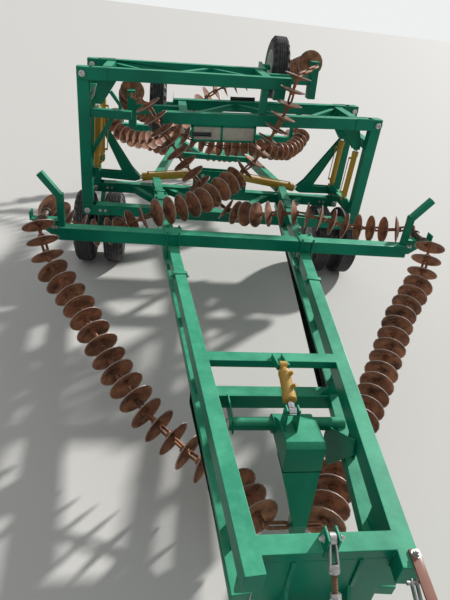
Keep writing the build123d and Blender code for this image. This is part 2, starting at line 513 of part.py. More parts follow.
for side_name, side, inner_length, tilt, wheel_lift, ram_in, ram_up in WINGS:
    top_z = BEAM_Z + inner_length
    ram_x = HINGE_X - ram_in
    ram_z = BEAM_Z + ram_up

    # Inner section: two posts, cross tubes, ram brackets and the horn that the fold ram pulls
    with BuildPart() as inner_wing:
        for post_y in (FRONT_Y, REAR_Y):
            block(sorted((side * (HINGE_X - TUBE / 2), side * (HINGE_X + TUBE / 2))),
                  (post_y - POST_WIDTH / 2, post_y + POST_WIDTH / 2), (LOWER_TOP, top_z + TUBE / 2))
        for cross_z in (ram_z - 110, BEAM_Z + inner_length - 260):
            block(sorted((side * (HINGE_X - 50), side * (HINGE_X + 50))), (FRONT_Y, REAR_Y),
                  (cross_z - 50, cross_z + 50))
        for ram_y in (FRONT_RAM_Y, REAR_RAM_Y):
            for ear_y in (ram_y - EYE_WIDTH / 2 - 11, ram_y + EYE_WIDTH / 2 + 11):
                plate_across([(side * HINGE_X, ram_z - 140), (side * (ram_x - 35), ram_z - 40),
                              (side * (ram_x - 35), ram_z + 30), (side * (ram_x + 35), ram_z + 30),
                              (side * HINGE_X, ram_z - 70)], ear_y, PLATE)
            bar((side * ram_x, ram_y - EYE_WIDTH / 2 - 17, ram_z),
                (side * ram_x, ram_y + EYE_WIDTH / 2 + 17, ram_z), RAM_PIN_R)
        for outward in (-1, 1):
            plate_across([(side * (POST_IN + 5), FRAME_TOP + 870), (side * (POST_IN + 5), FRAME_TOP + 770),
                          (side * (HORN_NOSE_X + 190), FRAME_TOP + 160),
                          (side * (POST_IN + 5), FRAME_TOP + 160), (side * (POST_IN + 5), FRAME_TOP + 60),
                          (side * (HORN_NOSE_X + 20), HORN_NOSE_Z - 45),
                          (side * (HORN_NOSE_X - 45), HORN_NOSE_Z - 20),
                          (side * (HORN_NOSE_X - 45), HORN_NOSE_Z + 30),
                          (side * (HORN_NOSE_X + 60), HORN_NOSE_Z + 140)],
                         REAR_Y + outward * (SLOT + PLATE) / 2, PLATE)
            bar((side * HORN_NOSE_X, REAR_Y + outward * (SLOT / 2 + PLATE - 2), HORN_NOSE_Z),
                (side * HORN_NOSE_X, REAR_Y + outward * (SLOT / 2 + PLATE + 10), HORN_NOSE_Z), RAM_PIN_R)
        if side < 0:
            block((-POST_IN - 10, REST_END_X), (REST_Y - 48, REST_Y + 48), (REST_Z - 45, REST_Z + 45))
            beam((-POST_IN - 20, REST_Y, REST_Z - 470), (REST_END_X - 200, REST_Y, REST_Z - 20), 50, 50)
        for pin_z in (BEAM_Z, top_z):
            bar((side * HINGE_X, FRONT_Y - 100, pin_z), (side * HINGE_X, REAR_Y + 100, pin_z),
                HINGE_PIN_R + PIN_CLEAR, mode=Mode.SUBTRACT)
    write(inner_wing, f"inner_wing_{side_name}")

    # Outer section: two rails, cross tubes, lacing, gussets for the tip rams, tip arm and tip plate
    tip = WING_REACH - inner_length

    def on_wing(distance, rise=0.0):
        """(x, z) on this wing."""
        return wing_point(side, tilt, inner_length, distance, rise)

    def wing_beam(start, end, width, depth, rise=0.0):
        """Tube between two (distance, y) points of this wing."""
        x_start, z_start = on_wing(start[0], rise)
        x_end, z_end = on_wing(end[0], rise)
        lean = (side * sin(radians(tilt)), 0, cos(radians(tilt)))
        beam((x_start, start[1], z_start), (x_end, end[1], z_end), width, depth, up=lean)

    with BuildPart() as outer_wing:
        wing_beam((WING_HUB_CLEAR, FRONT_Y), (tip - RAIL_END_BEFORE_TIP, FRONT_Y), TUBE, TUBE)
        wing_beam((WING_HUB_CLEAR, REAR_Y), (tip - REAR_RAIL_END_BEFORE_TIP, REAR_Y), TUBE, TUBE)
        for cross_at in (230.0, tip - END_CROSS_BEFORE_TIP):
            wing_beam((cross_at, FRONT_Y), (cross_at, REAR_Y), TIP_ARM_WIDTH, TIP_ARM_WIDTH)
        wing_beam((tip - END_CROSS_BEFORE_TIP, WING_MID_Y), (tip + 10, WING_MID_Y),
                  TIP_ARM_WIDTH, TIP_ARM_WIDTH)
        bay = (tip - END_CROSS_BEFORE_TIP - 230.0) / 3
        for step in range(3):
            near, far = (FRONT_Y, REAR_Y) if step % 2 else (REAR_Y, FRONT_Y)
            wing_beam((230.0 + step * bay, near), (230.0 + (step + 1) * bay, far), 60, 60)
        for rail_y in (FRONT_Y, REAR_Y):
            for ear_y in (rail_y - EAR_GAP - PLATE / 2, rail_y + EAR_GAP + PLATE / 2):
                plate_across([on_wing(260, -62), on_wing(260, 62), on_wing(-45, 62), on_wing(-62, 0),
                              on_wing(-45, -62)], ear_y, PLATE)
            hinge_x, hinge_z = on_wing(0)
            bar((hinge_x, rail_y - EAR_GAP - PLATE - 8, hinge_z),
                (hinge_x, rail_y + EAR_GAP + PLATE + 8, hinge_z), HINGE_PIN_R)
        for ram_y in (FRONT_RAM_Y, REAR_RAM_Y):
            for ear_y in (ram_y - SLOT / 2 - PLATE / 2, ram_y + SLOT / 2 + PLATE / 2):
                plate_across([on_wing(170, 20), on_wing(290, 20), on_wing(360, -50), on_wing(170, -330),
                              on_wing(90, -330), on_wing(90, -240)], ear_y, PLATE)
        if side < 0:
            block((TIP_LEG_X - 38, TIP_LEG_X + 38), (FRONT_Y - 45, FRONT_Y + 45),
                  (TIP_LEG_LOW, FRAME_TOP + 1500))
            block(TIP_BOX, (FRONT_Y - 50, FRONT_Y + 50), (FRAME_TOP + 1370, FRAME_TOP + 1500))
        for gusset_y in (FRONT_Y, REAR_Y):
            toward = 1 if gusset_y == FRONT_Y else -1
            ram_y = FRONT_RAM_Y if gusset_y == FRONT_Y else REAR_RAM_Y
            wing_beam((230.0, gusset_y + toward * 40), (230.0, ram_y + toward * 60), 80, 90)
        tip_x, tip_z = on_wing(tip)
        plate_across([on_wing(tip, -TIP_PLATE_BELOW), on_wing(tip, TIP_PLATE_ABOVE),
                      on_wing(tip + TIP_PLATE_THICK, TIP_PLATE_ABOVE),
                      on_wing(tip + TIP_PLATE_THICK, -TIP_PLATE_BELOW)], WING_MID_Y, TIP_PLATE_WIDTH)
        wheel_at = tip - WING_WHEEL_BEFORE_TIP
        arm_at = tip - REAR_RAIL_END_BEFORE_TIP - 20
        wheel_y = REAR_Y + WING_WHEEL_BEHIND_RAIL
        arm_x, arm_z = on_wing(arm_at)
        wheel_x, wheel_z = on_wing(wheel_at)
        wheel_z += wheel_lift
        beam((arm_x, REAR_Y, arm_z), (arm_x, wheel_y + 60, wheel_z), 40, 110)
        bar((arm_x, wheel_y, wheel_z), (wheel_x - side * 60, wheel_y, wheel_z), STUB_R)
    write(outer_wing, f"outer_wing_{side_name}")

    with BuildPart() as wing_tyre:
        tyre(wheel_x, wheel_y, wheel_z, WING_TYRE_R, WING_TYRE_WIDTH)
    write(wing_tyre, f"wing_tyre_{side_name}")

    with BuildPart() as wing_rim:
        rim(wheel_x, wheel_y, wheel_z)
    write(wing_rim, f"wing_rim_{side_name}")

    # Fold ram: barrel on the humped bracket, rod to the horn
    fold_base = Vector(side * FOLD_BASE_X, REAR_Y, FOLD_Z)
    fold_eye = Vector(side * HORN_NOSE_X, REAR_Y, HORN_NOSE_Z)
    with BuildPart() as fold_barrel:
        ram_barrel(fold_base, fold_eye, FOLD_BARREL_R, FOLD_ROD_R, 42, 1)
    write(fold_barrel, f"fold_barrel_{side_name}")

    with BuildPart() as fold_rod:
        ram_rod(fold_base, fold_eye, FOLD_ROD_R, 38, 1)
    write(fold_rod, f"fold_rod_{side_name}")

    # Tip rams: a front and a rear one, side by side in one piece each
    pin_x, pin_z = on_wing(TIP_RAM_ALONG, -TIP_RAM_BELOW)
    ram_ends = [(Vector(side * ram_x, ram_y, ram_z), Vector(pin_x, ram_y, pin_z))
                for ram_y in (FRONT_RAM_Y, REAR_RAM_Y)]
    with BuildPart() as tip_barrels:
        for tip_base, tip_eye in ram_ends:
            ram_barrel(tip_base, tip_eye, TIP_BARREL_R, TIP_ROD_R, 34, 1)
    write(tip_barrels, f"tip_barrels_{side_name}")

    with BuildPart() as tip_rods:
        for tip_base, tip_eye in ram_ends:
            ram_rod(tip_base, tip_eye, TIP_ROD_R, 32, 1)
    write(tip_rods, f"tip_rods_{side_name}")

# Marker board under the front rail of the right outer wing: framed panel, divider and storage tube
BOARD_NEAR, BOARD_FAR = 1440.0, 2190.0
BOARD_DROP = 190.0
BOARD_FRAME = 24.0
BOARD_Y = FRONT_Y - 30


def on_board(distance, drop):
    """(x, z) on the board, along the right wing's rail and below its underside."""
    return wing_point(1, WINGS[1][3], WINGS[1][2], distance, -TUBE / 2 - SEAM - drop)


def board_plate(near, far, top, low, y, thickness):
    """Plate of the board between two distances and two drops."""
    plate_across([on_board(near, top), on_board(far, top), on_board(far, low), on_board(near, low)],
                 y, thickness)


with BuildPart() as marker_board:
    board_plate(BOARD_NEAR, BOARD_FAR, 0, BOARD_DROP, BOARD_Y, 14)
    board_middle = (BOARD_NEAR + BOARD_FAR) / 2 + 15
    for drop in (0, BOARD_DROP - BOARD_FRAME):
        board_plate(BOARD_NEAR, BOARD_FAR, drop, drop + BOARD_FRAME, BOARD_Y, 34)
    for near in (BOARD_NEAR, board_middle, BOARD_FAR - BOARD_FRAME):
        board_plate(near, near + BOARD_FRAME, 0, BOARD_DROP, BOARD_Y, 34)
    (tube_x, tube_z), (tube_end_x, tube_end_z) = on_board(BOARD_FAR - 10, 105), on_board(BOARD_FAR - 225, 105)
    bar((tube_x, BOARD_Y - 25, tube_z), (tube_end_x, BOARD_Y - 25, tube_end_z), 24)
write(marker_board, "marker_board")

# Lift arm for the front apex, on its round pivot tube
ARM_TIP_Y = LIFT_Y - 480
ARM_TIP_Z = 400.0
ARM_TIP_HALF = 45.0
ARM_HALF = 125.0
LIFT_PIN_Y = LIFT_Y - 150
LIFT_PIN_Z = LIFT_PIVOT_Z + 260
with BuildPart() as lift_arm:
    bar((ARM_X - 140, LIFT_Y, LIFT_PIVOT_Z), (ARM_X + 140, LIFT_Y, LIFT_PIVOT_Z), 65)
    plate_along([(LIFT_Y + 10, LIFT_PIVOT_Z + 60), (LIFT_Y - 90, LIFT_PIVOT_Z + 125),
                 (LIFT_Y - 290, LIFT_PIVOT_Z + 145), (LIFT_Y - 330, LIFT_PIVOT_Z + 120),
                 (LIFT_Y - 350, LIFT_PIVOT_Z - 60), (LIFT_Y - 40, LIFT_PIVOT_Z - 60)], ARM_X, 2 * ARM_HALF)
    with BuildSketch(Plane.XY.offset(LIFT_PIVOT_Z - 55)) as arm_root:
        with Locations((ARM_X, LIFT_Y - 270)):
            Rectangle(2 * ARM_HALF, 150)
    with BuildSketch(Plane.XY.offset(ARM_TIP_Z + 55)) as arm_tip:
        with Locations((ARM_X, ARM_TIP_Y)):
            Rectangle(2 * ARM_TIP_HALF, 100)
    loft([arm_root.sketch.face(), arm_tip.sketch.face()])
    block((ARM_X - ARM_TIP_HALF, ARM_X + ARM_TIP_HALF), (ARM_TIP_Y - 50, ARM_TIP_Y + 50),
          (ARM_TIP_Z - 60, ARM_TIP_Z + 56))
    for ear_x in (LIFT_X - SLOT / 2 - 6, LIFT_X + SLOT / 2 + 6):
        plate_along([(LIFT_PIN_Y + 60, LIFT_PIVOT_Z + 80), (LIFT_PIN_Y - 70, LIFT_PIVOT_Z + 80),
                     (LIFT_PIN_Y - 30, LIFT_PIN_Z + 30), (LIFT_PIN_Y + 30, LIFT_PIN_Z + 30)], ear_x, PLATE)
    for pin_side in (-1, 1):
        bar((LIFT_X + pin_side * (SLOT / 2 + 4), LIFT_PIN_Y, LIFT_PIN_Z),
            (LIFT_X + pin_side * (SLOT / 2 + 22), LIFT_PIN_Y, LIFT_PIN_Z), RAM_PIN_R)
    bar((ARM_X - 240, LIFT_Y, LIFT_PIVOT_Z), (ARM_X + 240, LIFT_Y, LIFT_PIVOT_Z), LIFT_PIVOT_R + PIN_CLEAR,
        mode=Mode.SUBTRACT)
write(lift_arm, "lift_arm")

lift_base = Vector(LIFT_X, LIFT_BASE_Y, LIFT_BASE_Z)
lift_eye = Vector(LIFT_X, LIFT_PIN_Y, LIFT_PIN_Z)
with BuildPart() as lift_barrel:
    ram_barrel(lift_base, lift_eye, LIFT_BARREL_R, LIFT_ROD_R, 30, 0)
write(lift_barrel, "lift_barrel")

with BuildPart() as lift_rod:
    ram_rod(lift_base, lift_eye, LIFT_ROD_R, 28, 0)
write(lift_rod, "lift_rod")

# One disc on its own link: a many-sided dish, flat behind and coned in front, on a three-sided bar
with BuildPart() as disc_on_link:
    with BuildSketch() as disc_rim:
        RegularPolygon(DISC_R, DISC_SIDES)
    loft([disc_rim.sketch.face(), Vertex(0, 0, DISC_DISH)])
    with BuildSketch(Plane.XY.offset(LINK_HIDE)) as link_section:
        RegularPolygon(LINK_R, 3)
    extrude(link_section.sketch, amount=DISC_PITCH)


def point_along(route, distance):
    """Point on a route of straight runs, at a distance from its start."""
    for start, end in zip(route, route[1:]):
        run = end - start
        if distance <= run.length:
            return start + run.normalized() * distance
        distance -= run.length
    return route[-1]


def link(start, end):
    """Bare three-sided link between two points."""
    run = end - start
    with BuildSketch(Plane(origin=start, x_dir=run.cross(Vector(0, 0, 1)), z_dir=run)) as section:
        RegularPolygon(LINK_R, 3)
    extrude(section.sketch, amount=run.length)


def gang(route, bare_end=BARE_LINK):
    """Chain of discs along a route, with a bare link at each end."""
    length = sum((end - start).length for start, end in zip(route, route[1:]))
    count = int((length - BARE_LINK - bare_end) // DISC_PITCH) + 2
    pitch = (length - BARE_LINK - bare_end) / (count - 1)
    stops = [point_along(route, BARE_LINK + pitch * step) for step in range(count)]
    places = []
    for stop, following in zip(stops, stops[1:]):
        heading = following - stop
        places.append(Plane(origin=stop, x_dir=heading.cross(Vector(0, 0, 1)), z_dir=heading).location)
    with Locations(*places):
        add(disc_on_link.part)
    link(route[0], stops[0] + (stops[0] - route[0]).normalized() * LINK_HIDE)
    if bare_end > BARE_LINK:
        link(stops[-1], route[-2])
        link(route[-2], route[-1])
        last = route[-2] - stops[-1]
    else:
        link(stops[-1], route[-1])
        last = route[-1] - stops[-1]
    with BuildSketch(Plane(origin=stops[-1], x_dir=last.cross(Vector(0, 0, 1)), z_dir=last)) as rim_section:
        RegularPolygon(DISC_R, DISC_SIDES)
    extrude(rim_section.sketch, amount=LINK_HIDE)
    print("gang", round(length), "discs", count)


def saddle_end(boom_y, boom_half, side, toward):
    """Where a gang leaves its boom's saddle, in front of it or behind it."""
    return Vector(side * (boom_half + SADDLE_OVERHANG), boom_y + toward * SADDLE_LINK / 2,
                  FRAME_TOP + SADDLE_RISE)


def route_points(rows):
    """Route points from rows of x, y behind the centre frame's front face, z above its top."""
    return [Vector(x, FRAME_FACE_Y + y, FRAME_TOP + z) for x, y, z in rows]


# Inner gangs, from the booms' saddles to the front and rear apex, left and right in one piece.
# Columns: name, boom's y, half of its width, toward, apex middle x, half of its gap, y and z, then for
# the left and the right the straight lead and bare link at the apex and rows of x, y, z
REAR_RUN = ((1600, 3850, 60), (1250, 3920, -90), (960, 4010, -230), (640, 4260, -370), (380, 4560, -460))
INNER_GANGS = (
    ("front_gangs", BOOM_Y, FRONT_BOOM_HALF, -1, ARM_X, ARM_TIP_HALF + MOVING_GAP, ARM_TIP_Y, ARM_TIP_Z,
     ((160, 225, ((1770, -1750, 40), (1500, -2060, -140), (1110, -2680, -390), (850, -3050, -490),
                  (500, -3375, -590), (250, -3545, -600))),
      (LEAD, BARE_LINK, ((1770, -1750, 40), (1500, -2060, -140), (1110, -2680, -390),
                         (850, -3050, -480), (480, -3560, -550))))),
    ("rear_gangs", REAR_BOOM_Y, REAR_BOOM_HALF, 1, 0, TAIL_POST_HALF + SEAM, TAIL_POST_Y, APEX_Z,
     ((LEAD, BARE_LINK, REAR_RUN), (LEAD, BARE_LINK, REAR_RUN))),
)
for name, boom_y, boom_half, toward, apex_x, apex_gap, apex_y, apex_z, halves in INNER_GANGS:
    with BuildPart() as gangs:
        for side, (apex_lead, apex_bare, rows) in zip((-1, 1), halves):
            start = saddle_end(boom_y, boom_half, side, toward)
            end = Vector(apex_x + side * apex_gap, apex_y, apex_z)
            middle = route_points([(side * x, y, z) for x, y, z in rows])
            gang([start, start + Vector(0, toward * LEAD, 0), *middle,
                  end + Vector(side * apex_lead, 0, 0), end], apex_bare)
            beam(tuple(start + Vector(0, toward, 0)),
                 tuple(start - Vector(0, toward * (SADDLE_LINK - SEAM), 0)), 34, 2 * LINK_R - 1)
    write(gangs, name)

# Outer gangs, from the booms' saddles to the tips of the folded wings, which lie across the middle.
# Columns: name, side of the boom, boom's y, half of its width, toward, straight lead and bare link at
# the tip, then rows of x, y, z
OUTER_GANGS = (
    ("front_gang_left", -1, BOOM_Y, FRONT_BOOM_HALF, 1, 40, 690,
     ((-1750, -900, 140), (-1500, -870, 20), (-1210, -900, 90), (-1030, -950, 240), (-870, -940, 310),
      (-560, -775, 331), (-390, -680, 368), (-257, -550, 405), (-90, -410, 480), (40, -268, 541),
      (161, -180, 635), (257, -170, 728), (316, -168, 853), (377, -168, 954), (442, -168, 1087),
      (492, -168, 1215), (541, -168, 1359), (560, -168, 1490), (585, -168, 1624), (602, -165, 1680))),
    ("front_gang_right", 1, BOOM_Y, FRONT_BOOM_HALF, 1, 40, 630,
     ((1740, -900, 260), (1250, -860, 260), (880, -770, 320), (650, -680, 310), (250, -500, 190),
      (20, -260, 115), (-167, -170, 220), (-302, -168, 332), (-404, -168, 445), (-563, -168, 642),
      (-669, -168, 780), (-765, -168, 905), (-858, -168, 1018), (-930, -168, 1140), (-1000, -165, 1240))),
    ("rear_gang_left", -1, REAR_BOOM_Y, REAR_BOOM_HALF, -1, LEAD, BARE_LINK,
     ((-1560, 3040, 190), (-1280, 2820, 130), (-1020, 2600, 190), (-620, 2300, 480),
      (-180, 2010, 1040), (20, 1950, 1200), (490, 1900, 1380), (860, 1840, 1470), (1010, 1640, 1560),
      (1020, 1000, 1690))),
    ("rear_gang_right", 1, REAR_BOOM_Y, REAR_BOOM_HALF, -1, LEAD, BARE_LINK,
     ((1600, 3020, 230), (1340, 2640, 180), (1000, 2350, 240), (700, 2180, 320),
      (0, 1960, 330), (-400, 1890, 440), (-800, 1830, 640), (-1080, 1740, 790), (-1240, 1500, 890),
      (-1240, 850, 1130))),
)
for name, side, boom_y, boom_half, toward, tip_lead, tip_bare, rows in OUTER_GANGS:
    _, _, inner_length, tilt, _, _, _ = WINGS[0 if side < 0 else 1]
    end_gap = MOVING_GAP if side < 0 else SEAM
    tip = WING_REACH - inner_length
    tip_x, tip_z = wing_point(side, tilt, inner_length, tip + TIP_PLATE_THICK / 2,
                              TIP_PLATE_ABOVE - TIP_CHAIN_BELOW_TOP)
    start = saddle_end(boom_y, boom_half, side, toward) + Vector(0, toward * SEAM, 0)
    end = Vector(tip_x, WING_MID_Y - toward * (TIP_PLATE_WIDTH / 2 + end_gap), tip_z)
    with BuildPart() as outer_gang:
        gang([start, start + Vector(0, toward * LEAD, 0), *route_points(rows),
              end - Vector(0, toward * tip_lead, 0), end], tip_bare)
    write(outer_gang, name)
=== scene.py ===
"""Looks of a disc chain harrow, folded for the road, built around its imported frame.

Lengths are metres. +X points to the machine's right, +Y to its rear and +Z up.
"""
from __future__ import annotations

import json
import logging
import math
from dataclasses import dataclass, field
from enum import Enum
from typing import Iterable, Iterator, Sequence

import bmesh
import bpy
from bmesh.types import BMesh, BMVert
from bpy.types import NodeSocket
from mathutils import Matrix, Vector

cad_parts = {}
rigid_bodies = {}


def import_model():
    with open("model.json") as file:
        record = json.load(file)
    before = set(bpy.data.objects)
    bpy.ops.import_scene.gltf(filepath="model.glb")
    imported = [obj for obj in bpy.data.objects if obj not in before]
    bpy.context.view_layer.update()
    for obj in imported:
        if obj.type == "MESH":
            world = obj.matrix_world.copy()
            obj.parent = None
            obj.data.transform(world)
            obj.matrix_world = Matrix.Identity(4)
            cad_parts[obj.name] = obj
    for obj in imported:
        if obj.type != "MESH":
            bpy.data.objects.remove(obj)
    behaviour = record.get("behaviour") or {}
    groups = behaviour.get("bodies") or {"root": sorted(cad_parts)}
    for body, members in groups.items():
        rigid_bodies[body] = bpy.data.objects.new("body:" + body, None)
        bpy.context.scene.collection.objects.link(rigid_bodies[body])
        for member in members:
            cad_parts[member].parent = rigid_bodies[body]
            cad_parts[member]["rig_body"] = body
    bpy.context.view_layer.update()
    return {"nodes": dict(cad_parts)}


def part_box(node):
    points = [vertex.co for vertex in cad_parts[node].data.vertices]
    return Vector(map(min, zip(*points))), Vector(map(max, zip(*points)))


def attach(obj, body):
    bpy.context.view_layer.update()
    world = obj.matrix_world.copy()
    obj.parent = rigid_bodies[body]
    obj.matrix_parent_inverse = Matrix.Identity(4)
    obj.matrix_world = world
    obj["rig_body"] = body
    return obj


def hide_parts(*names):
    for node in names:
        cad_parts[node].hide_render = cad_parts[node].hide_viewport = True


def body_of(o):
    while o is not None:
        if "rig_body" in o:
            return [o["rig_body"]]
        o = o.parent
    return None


for spare in list(bpy.data.objects):
    bpy.data.objects.remove(spare)
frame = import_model()
LOG = logging.getLogger("harrow")

Point = Sequence[float]
Rows = tuple[tuple[float, float, float], ...]
SIDES = (("left", -1), ("right", 1))

# Driving sizes, as in the frame
TUBE = 0.125
RAIL_WIDTH = 0.100
FRAME_TOP = 0.950
BEAM_Z = FRAME_TOP - TUBE / 2
RAIL_TOP = FRAME_TOP + 0.130
BOOM_TOP = RAIL_TOP + TUBE
LOWER_TOP = FRAME_TOP - TUBE
NOSE_Y = -5.175
HEAD_Y = -4.145
LIFT_Y = -3.125
MID_CROSS_Y = -2.755
BOOM_Y = -0.943
FRONT_Y = 0.387
REAR_Y = 1.237
REAR_BOOM_Y = 3.787
TAIL_POST_Y = 5.025
FACE_Y = FRONT_Y - TUBE / 2
WING_MID_Y = (FRONT_Y + REAR_Y) / 2
HINGE_X = 1.6875
TAIL_RAIL_X = 0.480
HEAD_RAIL_X = 0.378
RAIL_LEAN = (0.683 - HEAD_RAIL_X) / (BOOM_Y - HEAD_Y)
LIFT_PIVOT_Z = FRAME_TOP - 0.150
FOLD_PIN = (0.250, FRAME_TOP + 0.200)
BUCKLE_PIN = (HEAD_Y - 0.020, RAIL_TOP + 0.062)
SEAM = 0.0003
MOVING_GAP = 0.006

# Booms: y and half width
FRONT_BOOM = (BOOM_Y, 1.780)
REAR_BOOM = (REAR_BOOM_Y, 1.600)

# Wings: their reach, and for each side the inner length and the tilt of the folded outer section
WING_REACH = 4.110
INNER_LENGTH = {-1: 1.520, 1: 1.270}
WING_TILT = {-1: math.radians(2.3), 1: math.radians(-3.0)}

# Disc chain: a disc's radius, the space between discs, and the straight lead and bare length at an end
DISC_R = 0.148
PITCH = 0.150
LEAD = 0.130
BARE = 0.125


def rail_x(y: float) -> float:
    """Half spacing of the drawbar's rails at a station."""
    return HEAD_RAIL_X + RAIL_LEAN * (y - HEAD_Y)


def wing_point(side: int, distance: float, rise: float) -> tuple[float, float]:
    """(x, z) on a folded outer wing, a distance from its hinge and above its middle line."""
    tilt = WING_TILT[side]
    return (side * (HINGE_X - distance * math.cos(tilt) + rise * math.sin(tilt)),
            BEAM_Z + INNER_LENGTH[side] + distance * math.sin(tilt) + rise * math.cos(tilt))


# ---------------------------------------------------------------- mesh tools


def pose(origin: Point, axis: Point, twist: Point = (0, 0, 1)) -> Matrix:
    """Matrix at an origin whose Z runs along an axis.

    Args:
        origin: where the matrix stands.
        axis: direction of its Z.
        twist: direction that its Y leans to.

    Returns:
        A rigid 4x4 matrix.
    """
    along = Vector(axis).normalized()
    side = Vector(twist).cross(along)
    if side.length < 1e-4:
        side = Vector((0, 1, 0)).cross(along)
    side.normalize()
    matrix = Matrix((side, along.cross(side), along)).transposed().to_4x4()
    matrix.translation = Vector(origin)
    return matrix


def add_rod(bm: BMesh, start: Point, end: Point, radius: float, sides: int = 16) -> None:
    """Round or many-sided bar between two points."""
    start, end = Vector(start), Vector(end)
    run = end - start
    bmesh.ops.create_cone(bm, cap_ends=True, cap_tris=False, segments=sides, radius1=radius,
                          radius2=radius, depth=run.length, matrix=pose((start + end) / 2, run))


def add_block(bm: BMesh, matrix: Matrix, size: Point, bevel: float = 0.003) -> None:
    """Block with softened edges, centred on a matrix."""
    scaled = matrix @ Matrix.Diagonal((*size, 1))
    made = bmesh.ops.create_cube(bm, size=1.0, matrix=scaled)
    edges = list({edge for vert in made["verts"] for edge in vert.link_edges})
    if bevel > 0:
        bmesh.ops.bevel(bm, geom=edges, offset=bevel, segments=2, profile=0.5, affect="EDGES",
                        material=-1, clamp_overlap=True)


def add_bar(bm: BMesh, start: Point, end: Point, width: float, depth: float,
            up: Point = (0, 0, 1), bevel: float = 0.003) -> None:
    """Flat or square bar between two points, its depth lying nearest to up."""
    start, end = Vector(start), Vector(end)
    add_block(bm, pose((start + end) / 2, end - start, up), (width, depth, (end - start).length), bevel)


def add_turned(bm: BMesh, profile: Iterable[Point], origin: Point, axis: Point, steps: int = 24,
               closed: bool = False) -> list[BMVert]:
    """Turned shape, spun from a profile.

    Args:
        bm: mesh that takes the shape.
        profile: (along the axis, radius) pairs.
        origin: where the profile's zero lies.
        axis: direction of the axis.
        steps: facets round the shape.
        closed: join the profile's last point to its first, as in a ring.

    Returns:
        The new vertices.
    """
    matrix = pose(origin, axis)
    first = len(bm.verts)
    verts = [bm.verts.new(matrix @ Vector((radius, 0, along))) for along, radius in profile]
    pairs = list(zip(verts, verts[1:])) + ([(verts[-1], verts[0])] if closed else [])
    edges = [bm.edges.new(pair) for pair in pairs]
    bmesh.ops.spin(bm, geom=verts + edges, cent=matrix.translation, axis=matrix.col[2].xyz,
                   dvec=(0, 0, 0), angle=math.tau, steps=steps, use_merge=True, use_duplicate=False)
    bm.verts.ensure_lookup_table()
    made = bm.verts[first:]
    bmesh.ops.remove_doubles(bm, verts=made, dist=1e-5)
    bm.verts.ensure_lookup_table()
    return bm.verts[first:]


def add_ring(bm: BMesh, centre: Point, axis: Point, outer: float, bore: float, thick: float,
             steps: int = 24) -> None:
    """Flat ring or short sleeve with softened rims."""
    soft = min(0.2 * (outer - bore), 0.25 * thick)
    half = thick / 2
    profile = ((-half, bore), (-half, outer - soft), (soft - half, outer), (half - soft, outer),
               (half, outer - soft), (half, bore))
    add_turned(bm, profile, centre, axis, steps, closed=True)


def add_bolt(bm: BMesh, seat: Point, axis: Point, across: float = 0.030) -> None:
    """Hexagon head on a washer, with the end of its shank standing out."""
    matrix = pose(seat, axis)
    washer, head, shank = 0.003, 0.003 + across * 0.45, 0.003 + across * 0.75
    for low, high, radius, sides in ((0.0, washer, across * 0.72, 14), (washer, head, across / 2, 6),
                                     (head, shank, across * 0.27, 8)):
        add_rod(bm, matrix @ Vector((0, 0, low)), matrix @ Vector((0, 0, high)), radius, sides)


def add_chain_link(bm: BMesh, matrix: Matrix, length: float, width: float, wire: float) -> None:
    """Oval chain link, centred on a matrix, with its length along Z and its width along X."""
    reach, half = width / 2 - wire, length / 2 - width / 2
    lift = matrix @ Matrix.Translation((reach, 0, half))
    ring = bmesh.ops.create_circle(bm, cap_ends=False, segments=5, radius=wire, matrix=lift)["verts"]
    first = list({edge for vert in ring for edge in vert.link_edges})
    turn_axis = matrix.col[1].xyz
    over = bmesh.ops.spin(bm, geom=ring + first, cent=matrix @ Vector((0, 0, half)), axis=turn_axis,
                          dvec=(0, 0, 0), angle=-math.pi, steps=4, use_duplicate=False)["geom_last"]
    edges = [part for part in over if isinstance(part, bmesh.types.BMEdge)]
    down = bmesh.ops.extrude_edge_only(bm, edges=edges)["geom"]
    verts = [part for part in down if isinstance(part, BMVert)]
    bmesh.ops.translate(bm, verts=verts, vec=-matrix.col[2].xyz * 2 * half)
    edges = [part for part in down if isinstance(part, bmesh.types.BMEdge)
             and all(vert in set(verts) for vert in part.verts)]
    under = bmesh.ops.spin(bm, geom=verts + edges, cent=matrix @ Vector((0, 0, -half)), axis=turn_axis,
                           dvec=(0, 0, 0), angle=-math.pi, steps=4, use_duplicate=False)["geom_last"]
    last = [part for part in under if isinstance(part, bmesh.types.BMEdge)]
    bmesh.ops.bridge_loops(bm, edges=first + last)


def publish(name: str, bm: BMesh, finish: Finish, body: str = "chassis", replaces: Sequence[str] = (),
            sharp_deg: float = 32.0) -> None:
    """Turns a finished mesh into a piece of the model.

    Args:
        name: name of the piece.
        bm: its mesh, which is used up.
        finish: what it is made of.
        body: the body that it rides on.
        replaces: nodes of the frame that it stands for.
        sharp_deg: edges that turn more than this stay sharp.
    """
    bmesh.ops.recalc_face_normals(bm, faces=bm.faces)
    limit = math.radians(sharp_deg)
    for face in bm.faces:
        face.smooth = True
    for edge in bm.edges:
        edge.smooth = len(edge.link_faces) == 2 and edge.calc_face_angle(0) < limit
    mesh = bpy.data.meshes.new(name)
    bm.to_mesh(mesh)
    bm.free()
    piece = bpy.data.objects.new(name, mesh)
    bpy.context.scene.collection.objects.link(piece)
    piece.data.materials.append(finish.material())
    if replaces:
        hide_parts(*replaces)
    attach(piece, body)
    LOG.info("piece %s on %s, %d faces", name, body, len(mesh.polygons))


def body_of_node(node: str) -> str:
    """Name of the body that a node of the frame rides on."""
    body = body_of(frame["nodes"][node])
    return body if isinstance(body, str) else list(body)[0]


